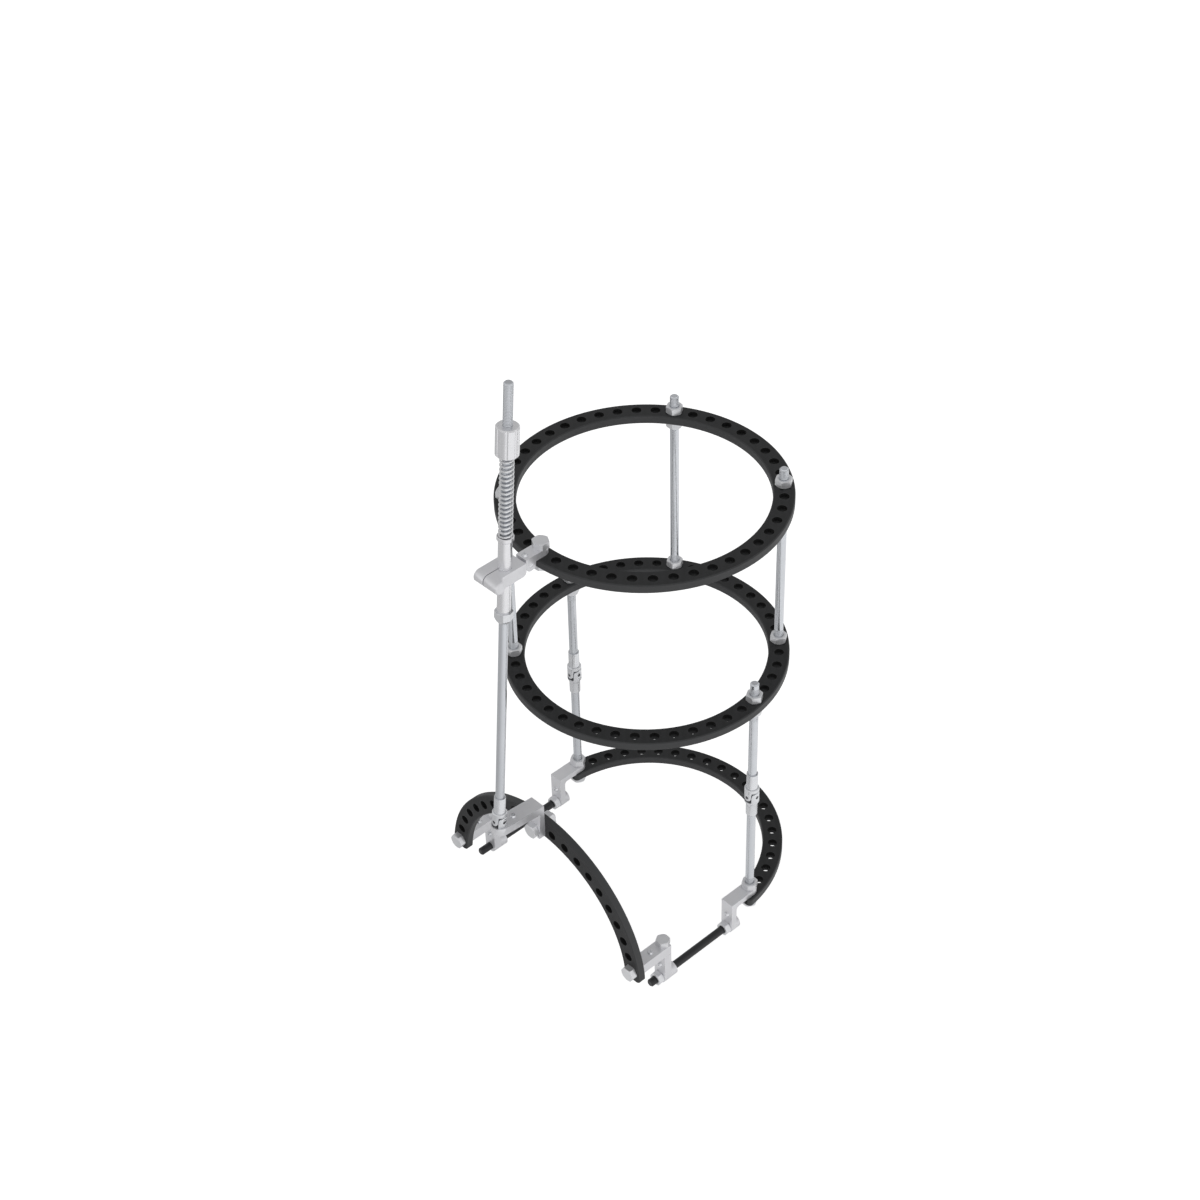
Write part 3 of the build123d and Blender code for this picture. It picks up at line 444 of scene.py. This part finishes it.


# %% [markdown]
# All bright pieces are metal, but not the same one. The brackets and bars are light alloy, milled
# and then blasted to an even, pale matt. Rods, nuts and joints are stainless steel: turned, a
# little darker, and shinier. The crosses and pins inside the joints are painted near black, as
# painted shade that draws a dark pin hole on every ear. One maker with different values gives them
# all, and the turn says which way the tool lines run, because the long drive rod leans a little.
# A fine scatter from the blasted and oxidised skin is part of the look, so the metallic value
# stays below one: a bracket beside a black ring then stays pale, and doesn't turn into a black
# mirror.


# %% Metal finishes
def metal_finish(
    name, pale, dark, rough, shine,
    lines=9000.0, line_depth=0.000003, turn=0.0, threaded=(), metallic=0.8,
):
    """A machined metal: two tones in soft clouds, tool lines, polished edges painted paler as wear
    and painted highlight, perhaps a thread.
    """
    material, tree, shader, place = new_material(name, metallic)
    turned = stretch(tree, place.outputs["Object"], (1.0, 1.0, 1.0), (turn, 0.0, 0.0))
    grain = use_effect(tree, grain_effect, vector=turned, line_scale=lines, cloud_scale=90.0)
    wear_and_highlight = use_effect(tree, wear_and_highlight_effect, vector=place.outputs["Object"], patch_scale=400.0)["Mask"]
    clouds = remap(tree, grain["Clouds"], 0.3, 0.7, 0.0, 1.0)
    colour = blend_colours(tree, clouds, (*dark, 1.0), (*pale, 1.0))
    roughness = remap(tree, clouds, 0.0, 1.0, rough + 0.05, rough - 0.04)
    height = calc(tree, "MULTIPLY", grain["Lines"], line_depth)
    if threaded:
        spiral = use_effect(tree, thread_effect, vector=turned, pitch=0.001)
        where = 0.0
        for low, high in threaded:
            here = use_effect(tree, stretch_effect, vector=turned, low=low, high=high)["Mask"]
            where = calc(tree, "ADD", where, here)
        # The colour is darkened in the grooves of the threaded stretches.
        groove_darkening = calc(tree, "MULTIPLY", spiral["Groove"], 0.3)
        darkened_grooves = calc(tree, "MULTIPLY", groove_darkening, where)
        colour = blend_colours(tree, darkened_grooves, colour, (0.3, 0.3, 0.31, 1.0))
        thread_depth = 0.00018
        relief = calc(tree, "MULTIPLY", spiral["Height"], thread_depth)
        height = calc(tree, "ADD", height, calc(tree, "MULTIPLY", relief, where))
    # The edges are painted paler: partly wear, partly a painted highlight.
    wear_and_highlight_colour = tuple(min(1.0, part * 1.12) for part in pale)
    colour = blend_colours(tree, calc(tree, "MULTIPLY", wear_and_highlight, 0.8), colour, (*wear_and_highlight_colour, 1.0))
    feed(tree, shader.inputs["Base Color"], colour)
    polish = calc(tree, "MULTIPLY", wear_and_highlight, shine)
    feed(tree, shader.inputs["Roughness"], calc(tree, "SUBTRACT", roughness, polish))
    bump(tree, shader, height, 1.0, 0.8)
    return material


lean = math.radians(4.95)
milled_alloy = metal_finish(
    "milled_alloy", (0.8, 0.8, 0.825), (0.765, 0.765, 0.79), 0.34, 0.12, lines=2600.0, metallic=0.6
)
turned_alloy = metal_finish(
    "turned_alloy", (0.84, 0.84, 0.86), (0.8, 0.8, 0.82), 0.26, 0.10, turn=lean
)
turned_steel = metal_finish(
    "turned_steel", (0.78, 0.79, 0.815), (0.74, 0.75, 0.775), 0.25, 0.10
)
pressed_steel = metal_finish(
    "pressed_steel", (0.8, 0.805, 0.825), (0.75, 0.755, 0.775), 0.33, 0.12,
    lines=3000.0, metallic=0.65,
)
leaning_steel = metal_finish(
    "leaning_steel", (0.77, 0.78, 0.805), (0.73, 0.74, 0.765), 0.25, 0.10, turn=lean
)
spring_steel = metal_finish(
    "spring_steel", (0.81, 0.815, 0.83), (0.77, 0.775, 0.79), 0.24, 0.05, lines=6000.0
)
# Painted shade: the crosses and pins are near black so that they stand for dark pin holes.
pin_shade_steel = metal_finish(
    "pin_shade_steel", (0.10, 0.10, 0.105), (0.06, 0.06, 0.065), 0.38, 0.05, lines=6000.0
)

# %% [markdown]
# Drawn rods are the smoothest metal here, with finer and shallower lines. The upright ones are
# threaded in three stretches, at the upper ring, at the lower ring and at the heel half ring, and
# the drive rod only where the knob runs.

# %% Threaded rods
drawn = {"lines": 12000.0, "line_depth": 0.0000008}
nut_runs = ((-0.013, 0.03), (-0.146, -0.118), (-0.34, -0.291))
threaded_steel = metal_finish(
    "threaded_steel", (0.68, 0.7, 0.735), (0.655, 0.675, 0.71), 0.20, 0.05,
    threaded=nut_runs, **drawn,
)
knob_run = ((0.06, 0.13),)
threaded_drive = metal_finish(
    "threaded_drive", (0.65, 0.67, 0.705), (0.625, 0.645, 0.68), 0.20, 0.05,
    turn=lean, threaded=knob_run, **drawn,
)

# %% [markdown]
# The carbon plate is near black with a dull resin skin. The weave is only just there: a small
# change of tone and gloss from bundle to bundle. Each plate is measured from the middle of its
# own hole circle and from its own face. On the upright arch the plate lies in another plane, so
# its material turns the coordinates, and the normal with them, before the weave is laid out.


# %% Carbon plate
def carbon_plate(name, middle, turn=(0.0, 0.0, 0.0)):
    """Woven carbon plate whose flat faces look along z after the turn, drilled round its middle."""
    material, tree, shader, place = new_material(name, 0.0)
    centred = tree.nodes.new("ShaderNodeVectorMath")
    centred.operation = "SUBTRACT"
    tree.links.new(place.outputs["Object"], centred.inputs[0])
    centred.inputs[1].default_value = middle
    laid = stretch(tree, centred.outputs["Vector"], (1.0, 1.0, 1.0), turn)
    facing = stretch(tree, place.outputs["Normal"], (1.0, 1.0, 1.0), turn)
    weave = use_effect(tree, twill_effect, vector=laid, normal=facing, bundle=0.0018, ply=0.0005)
    wear_and_highlight = use_effect(tree, wear_and_highlight_effect, vector=place.outputs["Object"], patch_scale=300.0)["Mask"]
    drilled = use_effect(tree, drilled_effect, vector=laid, circle=0.0875)
    clouds = noise(tree, place.outputs["Object"], 45.0, 4.0, 0.6)
    low_bundle, high_bundle = (0.009, 0.0095, 0.010, 1.0), (0.018, 0.0185, 0.020, 1.0)
    colour = blend_colours(tree, weave["Tone"], low_bundle, high_bundle)
    # The cut rims are painted paler than the flat faces: partly the plies' own dull tone, partly a
    # painted sheen.
    cut = calc(tree, "MULTIPLY", weave["Cut face"], 0.8)
    colour = blend_colours(tree, cut, colour, (0.058, 0.059, 0.061, 1.0))
    # Painted shade and light in the holes: the walls are near black deep in, as painted shade, and
    # paler at their lower end, as a painted glow of the white floor below.
    hole_wall = calc(tree, "MULTIPLY", weave["Cut face"], drilled["Mask"])
    painted_deep_shade, painted_floor_glow = (0.001, 0.001, 0.001, 1.0), (0.05, 0.051, 0.053, 1.0)
    painted_hole_shade_and_glow = blend_colours(tree, drilled["Lower end"], painted_deep_shade, painted_floor_glow)
    colour = blend_colours(tree, hole_wall, colour, painted_hole_shade_and_glow)
    # The rims' edges are painted paler: partly rubbed wear, partly a painted highlight.
    rubbed_and_highlit = calc(tree, "MULTIPLY", wear_and_highlight, 0.55)
    colour = blend_colours(tree, rubbed_and_highlit, colour, (0.09, 0.092, 0.095, 1.0))
    feed(tree, shader.inputs["Base Color"], colour)
    cloudy = remap(tree, clouds, 0.3, 0.7, 0.40, 0.52)
    extra = weigh(tree, weave["Tone"], 0.08, hole_wall, 0.4)
    feed(tree, shader.inputs["Roughness"], calc(tree, "ADD", cloudy, extra))
    shader.inputs["Specular IOR Level"].default_value = 0.35
    bump(tree, shader, weave["Height"], 0.00005, 0.35)
    return material


lower_ring_face = -0.1284
heel_face = -0.306
arch_middle = (0.0, -0.14, -0.311852)
upper_carbon = carbon_plate("upper_carbon", (0.0, 0.0, 0.0))
lower_carbon = carbon_plate("lower_carbon", (0.0, 0.0, lower_ring_face))
heel_carbon = carbon_plate("heel_carbon", (0.0, 0.0, heel_face))
upright_carbon = carbon_plate("upright_carbon", arch_middle, (math.radians(90), 0.0, 0.0))

# %% [markdown]
# The two side rods are pulled, not woven: all fibres run along the rod in a black resin. Noise
# that is stretched along the rod gives the fine streaks, and the surface stays glossier than the
# plates because it was moulded and not cut.

# %% Carbon rods
pulled_carbon, tree, shader, place = new_material("pulled_carbon", 0.0)
streaks = noise(tree, stretch(tree, place.outputs["Object"], (1.0, 0.02, 1.0)), 4200.0, 2.0, 0.6)
wear_and_highlight = use_effect(tree, wear_and_highlight_effect, vector=place.outputs["Object"], patch_scale=300.0)["Mask"]
streaked = remap(tree, streaks, 0.35, 0.65, 0.0, 1.0)
colour = blend_colours(tree, streaked, (0.006, 0.0065, 0.008, 1.0), (0.015, 0.016, 0.019, 1.0))
# The edges are painted paler: partly wear, partly a painted highlight.
colour = blend_colours(tree, calc(tree, "MULTIPLY", wear_and_highlight, 0.5), colour, (0.07, 0.07, 0.075, 1.0))
feed(tree, shader.inputs["Base Color"], colour)
feed(tree, shader.inputs["Roughness"], remap(tree, streaks, 0.3, 0.7, 0.30, 0.42))
bump(tree, shader, streaks, 0.00002, 0.4)

# %% [markdown]
# Each CAD node gets its finish by name. Nodes that turn about the leaning drive rod take the
# leaning finishes, so that their tool lines stay square to their own axis.

# %% Finishes of the CAD nodes
finishes = {
    upper_carbon: ["upper_ring"],
    lower_carbon: ["lower_ring"],
    heel_carbon: ["heel_half_ring"],
    upright_carbon: ["forefoot_arch"],
    pulled_carbon: ["side_rod_inner", "side_rod_outer"],
    threaded_steel: ["ring_rods", "upper_hinge_rods", "lower_hinge_rods"],
    threaded_drive: ["motor_rod"],
    spring_steel: ["motor_spring"],
    turned_steel: [
        "upper_yoke_inner", "lower_yoke_inner", "upper_yoke_outer", "lower_yoke_outer",
        "lock_screws", "swivel_screw", "swivel_pin",
    ],
    leaning_steel: ["motor_fork", "motor_yoke", "foot_bracket_screw", "collar_nut"],
    pin_shade_steel: ["cross_inner", "cross_outer", "motor_cross", "motor_fork_pins"],
    turned_alloy: ["motor_sleeve", "lower_tube", "knob"],
    milled_alloy: [
        "rear_bracket_inner", "rear_bracket_outer", "front_bar_inner", "front_bar_outer",
        "front_post_inner", "front_post_outer", "motor_foot_bracket", "clamp_block", "ring_bracket",
    ],
    pressed_steel: [
        "ring_nuts", "heel_nuts", "side_rod_nuts", "foot_bracket_nut",
        "front_bolts", "arch_bolts", "foot_bracket_bolt", "ring_bracket_bolt",
    ],
}
for material, names in finishes.items():
    for name in names:
        node = frame["nodes"][name]
        node.data.materials.clear()
        node.data.materials.append(material)
print("finished", sum(len(names) for names in finishes.values()), "CAD nodes")

# %% [markdown]
# Real milled parts have their sharp edges broken, and that thin bevel is what catches the light.
# The CAD nodes keep their meshes, and modifiers do the work: Weld joins the loose triangles,
# Decimate melts the triangles of each flat face together, and Bevel breaks every edge that is
# left with an angle.

# %% Broken edges on brackets and joints
broken_edges = {
    0.00035: finishes[milled_alloy],
    0.00025: [
        "upper_yoke_inner", "upper_yoke_outer", "lower_yoke_inner", "lower_yoke_outer",
        "motor_yoke", "motor_fork", "collar_nut",
    ],
}


def break_edges(node, width):
    """Weld, flatten and bevel a CAD node by modifiers; its own mesh stays."""
    weld = node.modifiers.new("weld", "WELD")
    weld.merge_threshold = 0.000005
    flatten = node.modifiers.new("flatten", "DECIMATE")
    flatten.decimate_type = "DISSOLVE"
    flatten.angle_limit = math.radians(1.0)
    bevel = node.modifiers.new("bevel", "BEVEL")
    bevel.width = width
    bevel.segments = 2
    bevel.limit_method = "ANGLE"
    bevel.angle_limit = math.radians(35.0)
    bevel.use_clamp_overlap = True
    bevel.harden_normals = True


for width, names in broken_edges.items():
    for name in names:
        break_edges(frame["nodes"][name], width)
    print("edges broken by", width * 1000, "mm on", len(names), "nodes")

# %% [markdown]
# A hex nut is cut from hexagon bar and then turned, so its corners are cut away by a cone and
# leave a curved line on each flat. A six-sided cylinder alone looks like a toy. So the first tool
# is a turned blank: a circle is extruded and resized step by step, up a list of radii and
# heights. The second one joins, cuts or intersects two solids.


# %% Turned blanks
def turned_blank(name, outline, sides=40):
    """A closed turned solid about the z axis from (radius, height) points, bottom to top."""
    deselect_everything()
    radius, height = outline[0]
    bpy.ops.mesh.primitive_circle_add(
        vertices=sides, radius=radius, fill_type="NGON", location=(0, 0, height)
    )
    blank = bpy.context.object
    blank.name = name
    bpy.ops.object.transform_apply(location=True, rotation=True, scale=True)
    bpy.ops.object.mode_set(mode="EDIT")
    bpy.ops.mesh.select_mode(type="FACE")
    bpy.ops.mesh.select_all(action="SELECT")
    for next_radius, next_height in outline[1:]:
        step = (0, 0, next_height - height)
        bpy.ops.mesh.extrude_region_move(TRANSFORM_OT_translate={"value": step})
        bpy.ops.transform.resize(value=(next_radius / radius, next_radius / radius, 1.0))
        radius, height = next_radius, next_height
    bpy.ops.mesh.select_all(action="SELECT")
    bpy.ops.mesh.normals_make_consistent(inside=False)
    bpy.ops.object.mode_set(mode="OBJECT")
    return blank


def combine(piece, tool, operation):
    """Apply a boolean with the tool, then delete the tool."""
    deselect_everything()
    cut = piece.modifiers.new("combine", "BOOLEAN")
    cut.operation = operation
    cut.object = tool
    cut.solver = "EXACT"
    piece.select_set(True)
    bpy.context.view_layer.objects.active = piece
    bpy.ops.object.modifier_apply(modifier=cut.name)
    bpy.data.objects.remove(tool)


# %% [markdown]
# The hexagon starts as a six-sided cylinder, and what is left of it inside a turned blank is the
# head. The blank's cone has the usual thirty degrees. A nut gets it at both ends, a bolt's head
# only at the top, because its lower face lies flat on the part. The blank reaches a little past
# the ends, so that no two faces lie in one plane.


# %% Hex head with turned corners
def hex_body(name, across_flats, height, both_ends):
    """A hexagon on the plane z = 0 whose corners are turned away at the top, or at both ends."""
    corner = across_flats / math.sqrt(3)
    face = across_flats * 0.475
    inside = face * 0.9
    past = 0.0001
    drop = (corner - face) * math.tan(math.radians(30))
    deselect_everything()
    bpy.ops.mesh.primitive_cylinder_add(
        vertices=6, radius=corner, depth=height, location=(0, 0, height / 2)
    )
    body = bpy.context.object
    body.name = name
    bpy.ops.object.transform_apply(location=True, rotation=True, scale=True)
    over = 1.002 * corner
    outline = [(over, -past), (over, height - drop), (face, height), (inside, height + past)]
    if both_ends:
        outline = [(inside, -past), (face, 0.0), (over, drop), *outline[1:]]
    combine(body, turned_blank(name + "_blank", outline), "INTERSECT")
    return body


# %% [markdown]
# The places of nuts and bolts are read from the CAD nodes that they replace, so nothing is typed
# twice and nothing can drift. A node may hold several solids. Each is found as an island of
# joined points, and its axis, ends, middle and the direction of one corner say where the
# modelled piece goes. The placed copy has its own mesh, and its place is written into that mesh,
# so the object itself stays at the world origin.


# %% Read the solids of a node
same_level = 0.00002


def solids_of(name):
    """The points of each separate solid of a CAD node."""
    mesh = bmesh.new()
    mesh.from_mesh(frame["nodes"][name].data)
    bmesh.ops.remove_doubles(mesh, verts=mesh.verts, dist=0.000002)
    left = set(mesh.verts)
    solids = []
    for start in mesh.verts:
        if start not in left:
            continue
        left.remove(start)
        island = [start]
        for point in island:
            for edge in point.link_edges:
                other = edge.other_vert(point)
                if other in left:
                    left.remove(other)
                    island.append(other)
        solids.append([point.co.copy() for point in island])
    mesh.free()
    return solids


def off_axis(point, start, axis):
    """How far a point is from the line through start along the axis."""
    arm = point - start
    return (arm - Vector(axis) * arm.dot(Vector(axis))).length


def placing(points, axis):
    """For a piece made along z, with a corner on x: the matrix onto this solid, height, radius."""
    axis = Vector(axis)
    side = axis.orthogonal().normalized()
    middle = Vector((0, 0, 0))
    for arm in (side, axis.cross(side)):
        reached = [p.dot(arm) for p in points]
        middle += arm * (max(reached) + min(reached)) / 2
    radial = [p - axis * p.dot(axis) - middle for p in points]
    reach = max(arm.length for arm in radial)
    corners = [(p, arm) for p, arm in zip(points, radial) if arm.length > reach - same_level]
    base = min(p.dot(axis) for p, arm in corners)
    top = max(p.dot(axis) for p, arm in corners)
    x_axis = corners[0][1].normalized()
    turn = Matrix((x_axis, axis.cross(x_axis), axis)).transposed().to_4x4()
    return Matrix.Translation(middle + axis * base) @ turn, top - base, reach


def settle(piece, matrix, name, material, body):
    """A copy of a modelled piece with its own mesh, moved into place inside its mesh."""
    copy = bpy.data.objects.new(name, piece.data.copy())
    copy.data.name = name
    copy.data.transform(Matrix(matrix))
    copy.data.materials.clear()
    copy.data.materials.append(material)
    bpy.context.collection.objects.link(copy)
    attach(copy, body)
    return copy


# %% [markdown]
# Nuts of one size share one model. Its bore is as wide as the solid's own, and the drill that
# cuts it widens past both ends, which leaves the countersinks. A node counts as replaced when all
# of its nuts are there.

# %% Nuts
body_of_node = {}
for body, names in frame["record"]["behaviour"]["bodies"].items():
    body_of_node.update({name: body for name in names})
up, forward = (0, 0, 1), (0, -1, 0)
nut_axes = {
    "ring_nuts": up, "heel_nuts": up, "side_rod_nuts": forward, "foot_bracket_nut": forward,
}
turn_corner_to_x = Matrix.Rotation(math.radians(-90), 4, "Z")
sink = 0.0004
past_end = 0.001


def nut_model(name, corner, height, inner):
    """A nut along z that stands on z = 0, with a corner on x and a countersunk bore."""
    nut = hex_body(name, corner * math.sqrt(3), height, True)
    mouth = inner + sink + past_end
    drill = [(mouth, -past_end), (inner, sink), (inner, height - sink), (mouth, height + past_end)]
    combine(nut, turned_blank("bore", drill), "DIFFERENCE")
    nut.data.transform(turn_corner_to_x)
    return nut


for node_name, axis in nut_axes.items():
    body = body_of_node[node_name]
    copies = []
    models = {}
    for number, points in enumerate(solids_of(node_name)):
        matrix, height, corner = placing(points, axis)
        inner = min(off_axis(p, matrix.translation, axis) for p in points)
        key = (round(height, 5), round(corner, 5))
        if key not in models:
            models[key] = nut_model(node_name + "_model", corner, height, inner)
        piece = settle(models[key], matrix, f"{node_name}_{number + 1}", pressed_steel, body)
        copies.append(piece)
    for model in models.values():
        bpy.data.objects.remove(model)
    for piece in copies:
        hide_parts(node_name)
    print(node_name, len(copies), "nuts")

# %% [markdown]
# Bolts are made the same way: a turned hexagon for the head, joined with a shank that has a
# bevelled end. The shank starts a little inside the head, so that the two solids overlap.


# %% Hex bolt
def hex_bolt(name, across_flats, head_height, shank_radius, shank_length):
    """A bolt along z whose head stands on z = 0 and whose shank goes down."""
    bolt = hex_body(name, across_flats, head_height, False)
    tip = 0.0006
    overlap = 0.0001
    outline = [
        (shank_radius - tip, -shank_length),
        (shank_radius, tip - shank_length),
        (shank_radius, overlap),
        (shank_radius * 0.8, 2 * overlap),
    ]
    combine(bolt, turned_blank("shank", outline, 32), "UNION")
    bolt.data.transform(turn_corner_to_x)
    return bolt


# %% [markdown]
# The head's height and the shank's length are measured on the CAD solid: the points farthest from
# the axis belong to the head, and the lowest points end the shank. A tightened bolt stops at any
# angle, so the one on the ring bracket is turned by half a side against its solid.

# %% Bolts
bolt_axes = {
    "front_bolts": up, "arch_bolts": forward, "foot_bracket_bolt": forward, "ring_bracket_bolt": up,
}
half_a_side = {"ring_bracket_bolt": Matrix.Rotation(math.radians(30), 4, "Z")}
for node_name, axis in bolt_axes.items():
    body = body_of_node[node_name]
    for number, points in enumerate(solids_of(node_name)):
        matrix, head_height, corner = placing(points, axis)
        seat = matrix.translation.dot(Vector(axis))
        lowest = min(p.dot(Vector(axis)) for p in points)
        foot = [p for p in points if p.dot(Vector(axis)) < lowest + same_level]
        shank = max(off_axis(p, matrix.translation, axis) for p in foot)
        across_flats = corner * math.sqrt(3)
        model = hex_bolt(node_name + "_model", across_flats, head_height, shank, seat - lowest)
        matrix = matrix @ half_a_side.get(node_name, Matrix.Identity(4))
        piece = settle(model, matrix, f"{node_name}_{number + 1}", pressed_steel, body)
        bpy.data.objects.remove(model)
        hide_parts(node_name)
    print(node_name, number + 1, "bolts, head", round(head_height * 1000, 1), "mm high")

# %% [markdown]
# The knob is gripped with two fingers, so it has eight narrow grooves between broad lands. It is
# turned like the other blanks, then eight rods cut the grooves and one cuts the bore. Its seat on
# the spring and its bore come from the CAD node, its leaning axis from the drive rod's lean, and it
# is a little slimmer and shorter than the solid that it stands for.

# %% Knob
knob_axis = Vector((0, math.sin(lean), math.cos(lean)))
knob_points = solids_of("knob")[0]
seat, _, _ = placing(knob_points, knob_axis)
middle = seat.translation - knob_axis * seat.translation.dot(knob_axis)
knob_low = min(p.dot(knob_axis) for p in knob_points)
knob_high = max(p.dot(knob_axis) for p in knob_points)
bore_radius = min((p - knob_axis * p.dot(knob_axis) - middle).length for p in knob_points)
knob_radius = 0.0073
knob_height = knob_high - knob_low - 0.0014
lower_chamfer, upper_chamfer = 0.0014, 0.0008
outline = [
    (knob_radius - lower_chamfer, 0.0),
    (knob_radius, lower_chamfer),
    (knob_radius, knob_height - upper_chamfer),
    (knob_radius - upper_chamfer, knob_height),
]
knob = turned_blank("knob_model", outline, 96)

grooves = 8
groove_radius = 0.001
groove_middle = Vector((knob_radius + 0.0004, 0, -past_end))
for number in range(grooves):
    spot = Matrix.Rotation(math.radians(360 / grooves * number), 3, "Z") @ groove_middle
    length = knob_height + 2 * past_end
    groove = turned_blank("groove", [(groove_radius, 0.0), (groove_radius, length)], 24)
    groove.data.transform(Matrix.Translation(spot))
    combine(knob, groove, "DIFFERENCE")

drill = [(bore_radius, -past_end), (bore_radius, knob_height + past_end)]
combine(knob, turned_blank("bore", drill, 48), "DIFFERENCE")
deselect_everything()
knob.select_set(True)
bpy.context.view_layer.objects.active = knob
bpy.ops.object.shade_smooth_by_angle(angle=math.radians(25))
stand = Matrix(((1, 0, 0), knob_axis.cross(Vector((1, 0, 0))), knob_axis)).transposed().to_4x4()
stand = Matrix.Translation(middle + knob_axis * knob_low) @ stand
grip = settle(knob, stand, "knob_grip", turned_alloy, body_of_node["knob"])
bpy.data.objects.remove(knob)
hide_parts("knob")
print("knob", len(grip.data.polygons), "faces, bore", round(bore_radius * 2000, 2), "mm")
